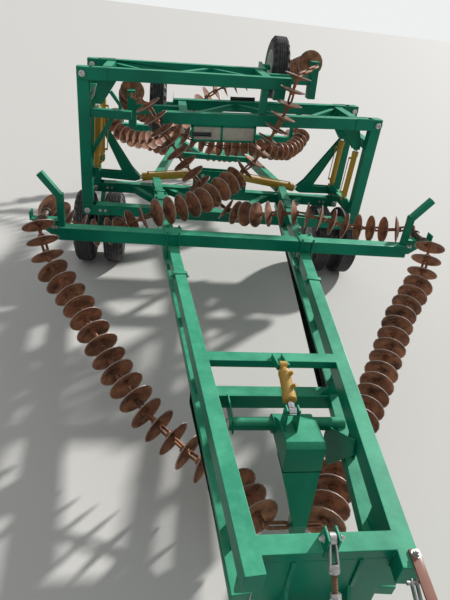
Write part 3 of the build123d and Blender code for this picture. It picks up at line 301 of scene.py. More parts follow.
def softened(node: str, offset: float = 0.004) -> BMesh:
    """Merged copy of a node's mesh with its sharp edges softened."""
    bm = bmesh.new()
    bm.from_mesh(frame["nodes"][node].data)
    bmesh.ops.remove_doubles(bm, verts=bm.verts, dist=0.0002)
    bmesh.ops.dissolve_limit(bm, angle_limit=math.radians(1.5), verts=bm.verts, edges=bm.edges)
    edges = [edge for edge in bm.edges if len(edge.link_faces) == 2
             and edge.calc_face_angle(0) > math.radians(40)]
    bmesh.ops.bevel(bm, geom=edges, offset=offset, offset_type="OFFSET", segments=2, profile=0.5,
                    affect="EDGES", clamp_overlap=False, material=-1)
    return bm


# ------------------------------------------------------------------ finishes


class Recipe:
    """Nodes of one material, written as short calls."""

    def __init__(self, name: str) -> None:
        """Starts a material with one principled shader."""
        self.material = bpy.data.materials.new(name)
        self.material.use_nodes = True
        self.tree = self.material.node_tree
        self.shader = next(node for node in self.tree.nodes if node.type == "BSDF_PRINCIPLED")
        self.place = self.node("ShaderNodeTexCoord").outputs["Object"]

    def node(self, kind: str, inputs: dict[int | str, object] | None = None,
             **settings: object) -> bpy.types.Node:
        """New node with its settings and inputs."""
        made = self.tree.nodes.new(kind)
        for key, value in settings.items():
            setattr(made, key, value)
        for key, value in (inputs or {}).items():
            self.feed(made.inputs[key], value)
        return made

    def feed(self, socket: NodeSocket, value: object) -> None:
        """Links or sets an input. A colour is opaque."""
        if isinstance(value, NodeSocket):
            self.tree.links.new(value, socket)
        else:
            socket.default_value = (*value, 1.0) if socket.type == "RGBA" else value

    def ramp(self, source: NodeSocket, low: float = 0.0, high: float = 1.0, start: float = 0.0,
             end: float = 1.0) -> NodeSocket:
        """From start to end as the source goes from low to high."""
        return self.node("ShaderNodeMapRange", {"Value": source, "From Min": low, "From Max": high,
                                                "To Min": start, "To Max": end},
                         clamp=True).outputs["Result"]

    def noise(self, scale: float, detail: float = 4.0, roughness: float = 0.55,
              stretch: Point = (1, 1, 1)) -> NodeSocket:
        """Noise on object coordinates, stretched along the axes."""
        mapping = self.node("ShaderNodeMapping", {"Scale": stretch, "Vector": self.place})
        return self.node("ShaderNodeTexNoise", {"Vector": mapping.outputs["Vector"], "Scale": scale,
                                                "Detail": detail, "Roughness": roughness}).outputs["Fac"]

    def patches(self, low: float, high: float, scale: float, detail: float, roughness: float = 0.55,
                stretch: Point = (1, 1, 1)) -> NodeSocket:
        """Noise that is 0 below low and 1 above high."""
        return self.ramp(self.noise(scale, detail, roughness, stretch), low, high)

    def times(self, first: object, second: object, operation: str = "MULTIPLY") -> NodeSocket:
        """Product of two values, or another operation on them."""
        return self.node("ShaderNodeMath", {0: first, 1: second}, operation=operation,
                         use_clamp=True).outputs[0]

    def blend(self, share: object, first: object, second: object) -> NodeSocket:
        """Colour that goes from the first to the second with a share."""
        return self.node("ShaderNodeMix", {"Factor": share, 6: first, 7: second},
                         data_type="RGBA").outputs[2]

    def upward(self, low: float = 0.35, high: float = 0.95) -> NodeSocket:
        """1 on faces that look up, 0 on walls."""
        normal = self.node("ShaderNodeNewGeometry").outputs["Normal"]
        return self.ramp(self.node("ShaderNodeSeparateXYZ", {0: normal}).outputs["Z"], low, high)

    def mark(self, name: str) -> NodeSocket:
        """A value stored on the mesh."""
        return self.node("ShaderNodeAttribute", attribute_name=name).outputs["Fac"]

    def bump(self, height: NodeSocket, strength: float, distance: float) -> None:
        """Relief on the shader."""
        bump = self.node("ShaderNodeBump", {"Strength": strength, "Distance": distance, "Height": height})
        self.feed(self.shader.inputs["Normal"], bump.outputs["Normal"])

    def finish(self, colour: object, roughness: object, **fixed: float) -> bpy.types.Material:
        """Feeds the shader and hands the material over."""
        self.feed(self.shader.inputs["Base Color"], colour)
        self.feed(self.shader.inputs["Roughness"], roughness)
        for key, value in fixed.items():
            self.shader.inputs[key.replace("_", " ")].default_value = value
        return self.material


@dataclass(frozen=True)
class Finish:
    """A surface, made once and shared."""

    name: str

    def material(self) -> bpy.types.Material:
        """The finish's material, made on first use."""
        found = bpy.data.materials.get(self.name)
        if found is None:
            found = self.build(Recipe(self.name))
        return found

    def build(self, recipe: Recipe) -> bpy.types.Material:
        """Fills in the nodes."""
        raise NotImplementedError


@dataclass(frozen=True)
class Paint(Finish):
    """Sprayed enamel with field dust and a painted top light, faded patches and small chips."""

    deep: Point = (0.001, 0.150, 0.088)
    fresh: Point = (0.002, 0.215, 0.122)
    # Light green for top faces: a painted top light of sun and sky, with some field dust
    dust_and_top_light: Point = (0.110, 0.540, 0.310)
    chip: Point = (0.10, 0.05, 0.03)
    dust_and_top_light_share: float = 0.75
    gloss: float = 0.32

    def build(self, recipe: Recipe) -> bpy.types.Material:
        """Two tones, dust and a painted top light on top faces, chips and an orange-peel bump."""
        faded = recipe.patches(0.36, 0.64, 1.7, 5)
        colour = recipe.blend(faded, self.deep, self.fresh)
        specks = recipe.ramp(recipe.patches(0.35, 0.70, 6.0, 6, 0.65), start=0.45)
        # Top faces take the lighter tone: partly field dust, partly a painted top light of sun and sky
        film = recipe.times(specks, recipe.upward())
        colour = recipe.blend(recipe.times(film, self.dust_and_top_light_share), colour, self.dust_and_top_light)
        streaks = recipe.patches(0.60, 0.80, 3.0, 5, 0.6, (6, 6, 0.7))
        colour = recipe.blend(recipe.times(streaks, 0.25), colour, self.deep)
        colour = recipe.blend(recipe.patches(0.735, 0.75, 34.0, 3, 0.7), colour, self.chip)
        recipe.bump(recipe.noise(160.0, 2), 0.06, 0.002)
        dull = recipe.times(film, recipe.times(faded, 0.3), "ADD")
        return recipe.finish(colour, recipe.ramp(dull, start=self.gloss, end=self.gloss + 0.22),
                             Specular_IOR_Level=0.16, Coat_Weight=0.05, Coat_Roughness=0.2)


@dataclass(frozen=True)
class RustedSteel(Finish):
    """Bare forged steel, rusted brown, with soil in the dish and a worn bright rim."""

    dark: Point = (0.055, 0.027, 0.020)
    warm: Point = (0.300, 0.120, 0.060)
    soil: Point = (0.620, 0.290, 0.145)
    worn: Point = (0.420, 0.370, 0.340)

    def build(self, recipe: Recipe) -> bpy.types.Material:
        """Browns, soil and pits by noise, and wear at the rim."""
        colour = recipe.blend(recipe.patches(0.30, 0.62, 7.0, 6, 0.6), self.dark, self.warm)
        soiled = recipe.patches(0.44, 0.68, 11.0, 5, 0.6)
        colour = recipe.blend(recipe.times(soiled, 0.6), colour, self.soil)
        pits = recipe.patches(0.60, 0.72, 70.0, 3, 0.6)
        colour = recipe.blend(recipe.times(pits, 0.5), colour, self.dark)
        rim = recipe.ramp(recipe.mark("reach"), 0.93, 0.99)
        colour = recipe.blend(recipe.times(rim, 0.75), colour, self.worn)
        recipe.bump(recipe.noise(90.0, 4, 0.6), 0.35, 0.004)
        return recipe.finish(colour, recipe.ramp(rim, start=0.78, end=0.45), Metallic=0.15)


@dataclass(frozen=True)
class Rubber(Finish):
    """Tyre rubber, greyed by dust on top and on the tread."""

    black: Point = (0.012, 0.012, 0.014)
    grey: Point = (0.045, 0.044, 0.046)
    dust_and_top_light: Point = (0.30, 0.25, 0.20)
    dust_and_top_light_share: float = 0.55

    def build(self, recipe: Recipe) -> bpy.types.Material:
        """Black to grey by noise, with dust where it settles."""
        colour = recipe.blend(recipe.patches(0.35, 0.65, 5.0, 5), self.black, self.grey)
        film = recipe.times(recipe.patches(0.45, 0.72, 22.0, 5, 0.65), recipe.upward(-0.1, 0.9))
        film = recipe.times(film, recipe.times(recipe.mark("tread"), 0.25, "ADD"))
        colour = recipe.blend(recipe.times(film, self.dust_and_top_light_share), colour, self.dust_and_top_light)
        recipe.bump(recipe.noise(120.0, 3), 0.15, 0.002)
        return recipe.finish(colour, recipe.ramp(film, start=0.62, end=0.9))


@dataclass(frozen=True)
class Plated(Finish):
    """Plated, cast or polished metal with light handling marks."""

    tone: Point = (0.62, 0.62, 0.60)
    mark_tone: Point = (0.36, 0.34, 0.31)
    rough: float = 0.34
    metallic: float = 0.85
    scale: float = 28.0

    def build(self, recipe: Recipe) -> bpy.types.Material:
        """Two tones by fine noise."""
        marks = recipe.patches(0.45, 0.72, self.scale, 5, 0.65)
        recipe.bump(recipe.noise(self.scale * 5, 3), 0.08, 0.002)
        return recipe.finish(recipe.blend(marks, self.tone, self.mark_tone),
                             recipe.ramp(marks, start=self.rough, end=self.rough + 0.25),
                             Metallic=self.metallic)


@dataclass(frozen=True)
class Plastic(Finish):
    """Smooth tube or panel skin with a faint haze."""

    tone: Point
    haze: Point
    rough: float
    share: float = 0.4

    def build(self, recipe: Recipe) -> bpy.types.Material:
        """One tone with haze by noise."""
        film = recipe.patches(0.42, 0.74, 11.0, 6, 0.6)
        recipe.bump(recipe.noise(150.0, 2), 0.05, 0.001)
        return recipe.finish(recipe.blend(recipe.times(film, self.share), self.tone, self.haze),
                             recipe.ramp(film, start=self.rough, end=self.rough + 0.2))


GREEN = Paint("green_paint")
YELLOW = Paint("yellow_paint", deep=(0.44, 0.235, 0.030), fresh=(0.62, 0.360, 0.060),
               dust_and_top_light=(0.62, 0.46, 0.20), chip=(0.12, 0.07, 0.04), dust_and_top_light_share=0.5, gloss=0.38)
WHEEL_PAINT = Paint("wheel_paint", deep=(0.50, 0.50, 0.48), fresh=(0.66, 0.66, 0.64),
                    dust_and_top_light=(0.42, 0.36, 0.29), chip=(0.16, 0.09, 0.06), dust_and_top_light_share=0.6, gloss=0.42)
RED_OXIDE = Paint("red_oxide", deep=(0.20, 0.085, 0.060), fresh=(0.30, 0.135, 0.095),
                  dust_and_top_light=(0.40, 0.26, 0.20), chip=(0.08, 0.04, 0.03), dust_and_top_light_share=0.45, gloss=0.6)
RUST = RustedSteel("rusted_steel")
TYRE = Rubber("tyre_rubber")
ZINC = Plated("zinc_plate")
DARK_STEEL = Plated("dark_steel", (0.10, 0.085, 0.075), (0.20, 0.11, 0.07), rough=0.5, metallic=0.6)
RUSTY_THREAD = Plated("rusty_thread", (0.17, 0.085, 0.05), (0.30, 0.17, 0.10), rough=0.62, metallic=0.3)
CHROME = Plated("chromed_rod", (0.80, 0.80, 0.80), (0.62, 0.60, 0.57), rough=0.10, metallic=1.0,
                scale=16.0)
BLACK_TUBE = Plastic("black_tube", (0.010, 0.011, 0.016), (0.05, 0.055, 0.07), rough=0.35)
BOARD = Plastic("board_panel", (0.46, 0.44, 0.37), (0.33, 0.29, 0.23), rough=0.6, share=0.7)


# ---------------------------------------------------------------- steelwork


@dataclass
class Steelwork:
    """The welded tube and plate of the machine, in softened copies of its nodes."""

    nodes: tuple[str, ...] = (
        "drawbar_upper", "drawbar_lower", "tongue", "centre_frame", "fold_bracket", "front_boom",
        "rear_boom", "rear_frame", "axle_frame", "inner_wing_left", "inner_wing_right",
        "outer_wing_left", "outer_wing_right", "lift_arm")
    soft: float = 0.004

    def build(self) -> None:
        """Publishes one painted copy of each node."""
        for node in self.nodes:
            publish(f"{node}_steel", softened(node, self.soft), GREEN, body_of_node(node), (node,),
                    sharp_deg=20.0)


@dataclass
class Clamps:
    """Straps and threaded hoops that hold the rails to the beams and booms."""

    plate: float = 0.012
    hoop: float = 0.009
    spread: float = 0.058

    def hoop_clamp(self, bm: BMesh, x: float, y: float, low: float, top: float) -> None:
        """Four threaded legs with nuts through a plate on top and one below.

        Args:
            bm: mesh that takes the clamp.
            x: middle across the machine.
            y: middle along the machine.
            low: underside of what it holds.
            top: upper side of what it holds.
        """
        along = TUBE / 2
        size = (2 * self.spread + 0.05, 2 * along + 0.07, self.plate)
        for z in (low - self.plate / 2, top + self.plate / 2):
            add_block(bm, Matrix.Translation((x, y, z)), size)
        for dx in (-self.spread, self.spread):
            for dy in (-along - 0.018, along + 0.018):
                add_rod(bm, (x + dx, y + dy, low - 0.03), (x + dx, y + dy, top + 0.035), self.hoop, 10)
                add_bolt(bm, (x + dx, y + dy, top + self.plate), (0, 0, 1), 0.024)

    def strap(self, bm: BMesh, x: float, y: float, lean: float) -> None:
        """Folded strap over a rail, with a bolted lug on each side."""
        half = RAIL_WIDTH / 2
        turn = Matrix.Translation((x, y, RAIL_TOP)) @ Matrix.Rotation(-lean, 4, "Z")
        add_block(bm, turn @ Matrix.Translation((0, 0, 0.004)), (2 * half + 0.03, 0.05, 0.008))
        for way in (-1, 1):
            add_block(bm, turn @ Matrix.Translation((way * (half + 0.010), 0, -0.03)), (0.008, 0.05, 0.07))
            seat, out = Vector((way * (half + 0.014), 0, -0.035)), Vector((way, 0, 0))
            add_bolt(bm, turn @ seat, turn.to_3x3() @ out, 0.022)

    def build(self) -> None:
        """Publishes the clamps on rails, beams and booms."""
        bm = bmesh.new()
        for _, side in SIDES:
            self.hoop_clamp(bm, side * rail_x(BOOM_Y), BOOM_Y, FRAME_TOP + 0.002, BOOM_TOP)
            self.hoop_clamp(bm, side * TAIL_RAIL_X, REAR_BOOM_Y, FRAME_TOP + 0.002, BOOM_TOP)
            self.hoop_clamp(bm, side * rail_x(FRONT_Y), FRONT_Y, LOWER_TOP, RAIL_TOP)
            for y in (FACE_Y + 0.29, BOOM_Y - 0.62):
                self.strap(bm, side * rail_x(y), y, side * math.atan(RAIL_LEAN))
        publish("rail_clamps", bm, GREEN)


@dataclass
class PinHeads:
    """Washers and heads of the wings' hinge pins."""

    head: float = 0.026
    proud: float = 0.0945

    def hinge_head(self, bm: BMesh, x: float, y: float, z: float, way: int) -> None:
        """Round head with a washer at one end of a hinge pin."""
        face = y + way * self.proud
        add_ring(bm, (x, face + way * 0.004, z), (0, way, 0), self.head + 0.008, 0.012, 0.006)
        dished = ((0.0, self.head), (0.012, self.head), (0.016, self.head - 0.004), (0.016, 0.016),
                  (0.006, 0.012), (0.006, 0.0))
        add_turned(bm, dished, (x, face + way * 0.006, z), (0, way, 0))

    def build(self) -> None:
        """Publishes the pin heads, on the bodies that carry the pins."""
        for name, side in SIDES:
            low, top = bmesh.new(), bmesh.new()
            for y in (FRONT_Y, REAR_Y):
                for way in (-1, 1):
                    self.hinge_head(low, side * HINGE_X, y, BEAM_Z, way)
                    self.hinge_head(top, side * HINGE_X, y, BEAM_Z + INNER_LENGTH[side], way)
            publish(f"knee_pin_heads_{name}", low, ZINC)
            publish(f"top_pin_heads_{name}", top, ZINC, body_of_node(f"outer_wing_{name}"))


# ------------------------------------------------------------------- wheels


@dataclass
class Tyre:
    """Ribbed implement tyre with side lugs."""

    radius: float
    width: float
    ribs: int = 5
    steps: int = 48
    bead: float = 0.198

    def outline(self) -> list[tuple[float, float]]:
        """Closed (across, radius) section, from one bead over the tread to the other."""
        half, top = self.width / 2, self.radius
        wall = [(half - 0.030, self.bead), (half - 0.008, self.bead + 0.02), (half, (top + self.bead) / 2),
                (half - 0.004, top - 0.070), (half - 0.018, top - 0.030), (half - 0.036, top - 0.012)]
        reach = half - 0.036
        tread, step = [], 2 * reach / self.ribs
        for rib in range(self.ribs):
            left = -reach + rib * step
            tread += [(left + 0.004, top - 0.001), (left + step - 0.004, top - 0.001)]
            if rib < self.ribs - 1:
                tread += [(left + step - 0.001, top - 0.011), (left + step + 0.001, top - 0.011)]
        return [(-x, r) for x, r in wall] + tread + wall[::-1]

    def add(self, bm: BMesh, x: float, y: float, z: float) -> None:
        """Spins the tyre about a cross axis and raises lugs on its shoulders."""
        made = set(add_turned(bm, self.outline(), (x, y, z), (1, 0, 0), self.steps, closed=True))
        half, lugs = self.width / 2, []
        for face in [face for face in bm.faces if face.verts[0] in made]:
            middle = face.calc_center_median() - Vector((x, y, z))
            reach = math.hypot(middle.y, middle.z)
            turn = int((math.atan2(middle.z, middle.y) % math.tau) / math.tau * self.steps)
            shoulder = self.radius - 0.055 < reach < self.radius - 0.010 and abs(middle.x) > half - 0.034
            if shoulder and turn % 2:
                lugs.append(face)
        bmesh.ops.inset_individual(bm, faces=lugs, thickness=0.003, depth=0.007, use_even_offset=True)
        tread = bm.verts.layers.float.get("tread") or bm.verts.layers.float.new("tread")
        for vert in bm.verts:
            arm = vert.co - Vector((x, y, z))
            if abs(arm.x) < half + 0.01:
                vert[tread] = max(vert[tread], 1.0 if math.hypot(arm.y, arm.z) > self.radius - 0.03 else 0.0)


@dataclass
class Rim:
    """Pressed rim with a bolted hub."""

    radius: float = 0.1945
    half: float = 0.100
    hub: float = 0.075
    studs: int = 6
    stud_circle: float = 0.0837

    def add(self, bm: BMesh, x: float, y: float, z: float, out: int) -> None:
        """Spins the rim and its hub. Out is the side that the dish opens to."""
        r, h, middle = self.radius, self.half, (x, y, z)
        barrel = ((-h, r + 0.018), (-h + 0.006, r + 0.018), (-h + 0.010, r), (-0.03, r - 0.018),
                  (0.03, r - 0.018), (h - 0.010, r), (h - 0.006, r + 0.018), (h, r + 0.018),
                  (h, r + 0.010), (h - 0.016, r - 0.008), (0.034, r - 0.026), (-0.034, r - 0.026),
                  (-h + 0.016, r - 0.008), (-h, r + 0.010))
        add_turned(bm, barrel, middle, (1, 0, 0), 40, closed=True)
        dish = ((0.000, r - 0.024), (0.018, r - 0.060), (0.040, 0.105), (0.034, self.hub),
                (0.034, 0.036), (0.024, 0.036), (0.024, self.hub), (0.030, 0.105),
                (0.008, r - 0.060), (-0.010, r - 0.024))
        add_turned(bm, dish, middle, (out, 0, 0), 40, closed=True)
        hub = ((-0.090, 0.0352), (-0.090, 0.050), (-0.060, 0.055), (0.050, 0.055), (0.070, 0.050),
               (0.090, 0.040), (0.094, 0.0352))
        add_turned(bm, hub, middle, (out, 0, 0), 28, closed=True)
        for stud in range(self.studs):
            angle = math.tau * stud / self.studs
            seat = Vector((out * 0.038, self.stud_circle * math.cos(angle),
                           self.stud_circle * math.sin(angle)))
            add_bolt(bm, Vector(middle) + seat, (out, 0, 0), 0.024)


@dataclass
class Wheels:
    """Twin carrying wheels under the frame and one wheel at each wing's tip."""

    axle: tuple[float, float] = (WING_MID_Y, 0.465)
    pair: tuple[float, float] = (1.410, 1.780)
    carrying: Tyre = field(default_factory=lambda: Tyre(0.464, 0.248))
    wing: Tyre = field(default_factory=lambda: Tyre(0.379, 0.218, steps=44))
    rim: Rim = field(default_factory=Rim)

    @staticmethod
    def publish_pair(piece: str, rubber: BMesh, steel: BMesh, body: str, node: str) -> None:
        """Publishes a body's tyres and rims, in names that hold %s for the part."""
        publish(piece % "tyre", rubber, TYRE, body, (node % "tyre",), 40.0)
        publish(piece % "rim", steel, WHEEL_PAINT, body, (node % "rim",))

    def build(self) -> None:
        """Publishes the tyres and rims."""
        for name, side in SIDES:
            rubber, steel = bmesh.new(), bmesh.new()
            for x, out in zip(self.pair, (-side, side)):
                self.carrying.add(rubber, side * x, *self.axle)
                self.rim.add(steel, side * x, *self.axle, out)
            self.publish_pair(f"carrying_%ss_{name}", rubber, steel, f"wheels_{name}", f"%ss_{name}")
            low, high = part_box(f"wing_rim_{name}")
            middle = (Vector(low) + Vector(high)) / 2
            rubber, steel = bmesh.new(), bmesh.new()
            self.wing.add(rubber, *middle)
            self.rim.add(steel, *middle, -side)
            self.publish_pair(f"tip_%s_{name}", rubber, steel, f"wing_wheel_{name}", f"wing_%s_{name}")


# -------------------------------------------------------------------- gangs


# Routes of the disc chains: rows of x, y behind FACE_Y and z above FRAME_TOP
FRONT_RUN = ((1.770, -1.750, 0.040), (1.500, -2.060, -0.140), (1.110, -2.680, -0.390))
REAR_RUN = ((1.600, 3.850, 0.060), (1.250, 3.920, -0.090), (0.960, 4.010, -0.230),
            (0.640, 4.260, -0.370), (0.380, 4.560, -0.460))
FRONT_LEFT_RUN = (
    (-1.750, -0.900, 0.140), (-1.500, -0.870, 0.020), (-1.210, -0.900, 0.090), (-1.030, -0.950, 0.240),
    (-0.870, -0.940, 0.310), (-0.560, -0.775, 0.331), (-0.390, -0.680, 0.368), (-0.257, -0.550, 0.405),
    (-0.090, -0.410, 0.480), (0.040, -0.268, 0.541), (0.161, -0.180, 0.635), (0.257, -0.170, 0.728),
    (0.316, -0.168, 0.853), (0.377, -0.168, 0.954), (0.442, -0.168, 1.087), (0.492, -0.168, 1.215),
    (0.541, -0.168, 1.359), (0.560, -0.168, 1.490), (0.585, -0.168, 1.624), (0.602, -0.165, 1.680))
FRONT_RIGHT_RUN = (
    (1.740, -0.900, 0.260), (1.250, -0.860, 0.260), (0.880, -0.770, 0.320), (0.650, -0.680, 0.310),
    (0.250, -0.500, 0.190), (0.020, -0.260, 0.115), (-0.167, -0.170, 0.220), (-0.302, -0.168, 0.332),
    (-0.404, -0.168, 0.445), (-0.563, -0.168, 0.642), (-0.669, -0.168, 0.780), (-0.765, -0.168, 0.905),
    (-0.858, -0.168, 1.018), (-0.930, -0.168, 1.140), (-1.000, -0.165, 1.240))
REAR_LEFT_RUN = (
    (-1.560, 3.040, 0.190), (-1.280, 2.820, 0.130), (-1.020, 2.600, 0.190), (-0.620, 2.300, 0.480),
    (-0.180, 2.010, 1.040), (0.020, 1.950, 1.200), (0.490, 1.900, 1.380), (0.860, 1.840, 1.470),
    (1.010, 1.640, 1.560), (1.020, 1.000, 1.690))
REAR_RIGHT_RUN = (
    (1.600, 3.020, 0.230), (1.340, 2.640, 0.180), (1.000, 2.350, 0.240), (0.700, 2.180, 0.320),
    (0.000, 1.960, 0.330), (-0.400, 1.890, 0.440), (-0.800, 1.830, 0.640), (-1.080, 1.740, 0.790),
    (-1.240, 1.500, 0.890), (-1.240, 0.850, 1.130))

# Inner gangs, left and right in one: boom, way that they leave it, apex (x, half of its gap, y, z), and
# for each side the straight lead and bare length at the apex and the rows with x away from the middle
INNER_GANGS = (
    ("front_gangs", FRONT_BOOM, -1, (0.105, 0.051, LIFT_Y - 0.480, 0.400),
     ((0.160, 0.225, FRONT_RUN + ((0.850, -3.050, -0.490), (0.500, -3.375, -0.590),
                                  (0.250, -3.545, -0.600))),
      (LEAD, BARE, FRONT_RUN + ((0.850, -3.050, -0.480), (0.480, -3.560, -0.550))))),
    ("rear_gangs", REAR_BOOM, 1, (0.0, 0.0503, TAIL_POST_Y, 0.450), ((LEAD, BARE, REAR_RUN),) * 2),
)
# Outer gangs: side, boom, way that they leave it, lead, bare length and gap at the wing's tip, rows
OUTER_GANGS = (
    ("front_gang_left", -1, FRONT_BOOM, 1, 0.040, 0.690, MOVING_GAP, FRONT_LEFT_RUN),
    ("front_gang_right", 1, FRONT_BOOM, 1, 0.040, 0.630, SEAM, FRONT_RIGHT_RUN),
    ("rear_gang_left", -1, REAR_BOOM, -1, LEAD, BARE, MOVING_GAP, REAR_LEFT_RUN),
    ("rear_gang_right", 1, REAR_BOOM, -1, LEAD, BARE, SEAM, REAR_RIGHT_RUN),
)


@dataclass(frozen=True)
class Route:
    """Straight runs that a gang follows, with its bare length at the far end."""

    points: tuple[Vector, ...]
    bare_end: float

    def length(self) -> float:
        """Length of the whole route."""
        return sum((b - a).length for a, b in zip(self.points, self.points[1:]))

    def at(self, distance: float) -> Vector:
        """Point on the route at a distance from its start."""
        for start, end in zip(self.points, self.points[1:]):
            run = end - start
            if distance <= run.length:
                return start + run.normalized() * distance
            distance -= run.length
        return self.points[-1]

    def stops(self) -> list[Vector]:
        """Middles of the discs."""
        room = self.length() - BARE - self.bare_end
        count = int(round(room * 1000, 3) // round(PITCH * 1000)) + 2
        return [self.at(BARE + room / (count - 1) * step) for step in range(count)]

    def tail_stops(self) -> list[Vector]:
        """Ends of the links after the last disc, where a long bare length bends with the route."""
        corners = [self.at(self.length() - self.bare_end), *self.points[-2:]]
        if self.bare_end <= BARE:
            corners.pop(1)
        ends = []
        for start, end in zip(corners, corners[1:]):
            count = max(1, round((end - start).length / PITCH))
            ends += [start.lerp(end, step / count) for step in range(1, count + 1)]
        return ends


@dataclass
class DiscChain:
    """A gang: dished discs with hubs, joined by oval links."""

    dish: float = 0.032
    plate: float = 0.006
    sides: int = 18
    wire: float = 0.0125
    link_width: float = 0.062
    link_overlap: float = 0.016

    def disc(self) -> bpy.types.Mesh:
        """One disc with its hub, its rim at zero and its dish bulging towards -Z."""
        bm = bmesh.new()
        reach = bm.verts.layers.float.new("reach")
        profile = [(-self.dish - self.plate, 0.030), (-self.dish * 0.72 - self.plate, 0.080),
                   (-self.plate, DISC_R), (0.0, DISC_R), (-self.dish * 0.72, 0.078), (-self.dish, 0.030)]
        add_turned(bm, profile, (0, 0, 0), (0, 0, 1), self.sides, closed=True)
        for vert in bm.verts:
            vert[reach] = math.hypot(vert.co.x, vert.co.y) / DISC_R
        add_rod(bm, (0, 0, -self.dish - 0.026), (0, 0, -self.dish + 0.024), 0.031, 8)
        bmesh.ops.recalc_face_normals(bm, faces=bm.faces)
        mesh = bpy.data.meshes.new("disc_shape")
        bm.to_mesh(mesh)
        bm.free()
        return mesh

    def join(self, bm: BMesh, start: Vector, end: Vector, turned: bool) -> None:
        """Oval link from one hub to the next."""
        run = end - start
        matrix = pose((start + end) / 2, run)
        if turned:
            matrix = matrix @ Matrix.Rotation(math.pi / 2, 4, "Z")
        add_chain_link(bm, matrix, run.length + self.link_overlap, self.link_width, self.wire)

    def add(self, bm: BMesh, route: Route, shape: bpy.types.Mesh) -> int:
        """Hangs discs and links along a route and gives the number of discs."""
        stops = route.stops()
        headings = [b - a for a, b in zip(stops, stops[1:])]
        for stop, heading in zip(stops, headings + headings[-1:]):
            first = len(bm.verts)
            bm.from_mesh(shape)
            bm.verts.ensure_lookup_table()
            bmesh.ops.transform(bm, matrix=pose(stop, heading), verts=bm.verts[first:])
        chain = [route.at(0.0), *stops, *route.tail_stops()]
        for number, (start, end) in enumerate(zip(chain, chain[1:])):
            self.join(bm, start, end, bool(number % 2))
        return len(stops)


@dataclass
class Gangs:
    """Six pieces of disc chain, between the booms' saddles, the two apexes and the wings' tips."""

    chain: DiscChain = field(default_factory=DiscChain)
    saddle_out: float = 0.125
    saddle_half: float = 0.120
    saddle_rise: float = 0.345
    swivel_at: float = 0.050
    swivel_r: float = 0.032
    tip_past: float = 0.045
    tip_rise: float = 0.170
    tip_half: float = 0.070

    def saddle(self, boom: tuple[float, float], side: int, toward: int) -> Vector:
        """Where a gang leaves its saddle."""
        boom_y, boom_half = boom
        return Vector((side * (boom_half + self.saddle_out), boom_y + toward * self.saddle_half,
                       FRAME_TOP + self.saddle_rise))

    @staticmethod
    def route(start: Vector, toward: int, rows: Rows, last: Vector, end: Vector, bare: float) -> Route:
        """Route from a saddle, over rows and a last corner, to its end."""
        middle = [Vector((x, FACE_Y + y, FRAME_TOP + z)) for x, y, z in rows]
        return Route((start, start + Vector((0, toward * LEAD, 0)), *middle, last, end), bare)

    def routes(self) -> Iterator[tuple[str, list[Route], list[tuple[Vector, Vector]]]]:
        """Name of each gang with its routes and its bridges over the booms."""
        for name, boom, toward, (x, gap, y, z), halves in INNER_GANGS:
            made, bridges = [], []
            for (_, side), (lead, bare, rows) in zip(SIDES, halves):
                start, end = self.saddle(boom, side, toward), Vector((x + side * gap, y, z))
                rows = tuple((side * row[0], *row[1:]) for row in rows)
                made.append(self.route(start, toward, rows, end + Vector((side * lead, 0, 0)), end, bare))
                bridges.append((start, self.saddle(boom, side, -toward)))
            yield name, made, bridges
        for name, side, boom, toward, lead, bare, gap, rows in OUTER_GANGS:
            start = self.saddle(boom, side, toward) + Vector((0, toward * SEAM, 0))
            x, z = wing_point(side, WING_REACH - INNER_LENGTH[side] + self.tip_past, self.tip_rise)
            end = Vector((x, WING_MID_Y - toward * (self.tip_half + gap), z))
            last = end - Vector((0, toward * lead, 0))
            yield name, [self.route(start, toward, rows, last, end, bare)], []

    def add_swivels(self, bm: BMesh, middle: Vector) -> None:
        """Two bearing housings, with a flange each, at the ends of a saddle's bridge."""
        size = self.swivel_r
        housing = ((-0.055, 0.0), (-0.055, size * 0.8), (-0.040, size), (0.030, size), (0.034, size + 0.014),
                   (0.048, size + 0.014), (0.052, size), (0.060, size * 0.5), (0.060, 0.0))
        for way in (-1, 1):
            add_turned(bm, housing, middle + Vector((0, way * self.swivel_at, 0)), (0, way, 0), 20)

    def build(self) -> None:
        """Publishes the gangs and the swivels that hold them."""
        shape, swivels = self.chain.disc(), bmesh.new()
        for name, routes, bridges in self.routes():
            bm = bmesh.new()
            bm.verts.layers.float.new("reach")
            count = sum(self.chain.add(bm, route, shape) for route in routes)
            for start, end in bridges:
                self.chain.join(bm, start, end, False)
                self.add_swivels(swivels, (start + end) / 2)
            publish(f"{name}_discs", bm, RUST, replaces=(name,), sharp_deg=30.0)
            LOG.info("%s has %d discs", name, count)
        publish("saddle_swivels", swivels, DARK_STEEL)
        bpy.data.meshes.remove(shape)


# --------------------------------------------------------------------- rams


class PinWay(Enum):
    """Direction that a ram's pins run in."""

    ACROSS = (1, 0, 0)
    ALONG = (0, 1, 0)


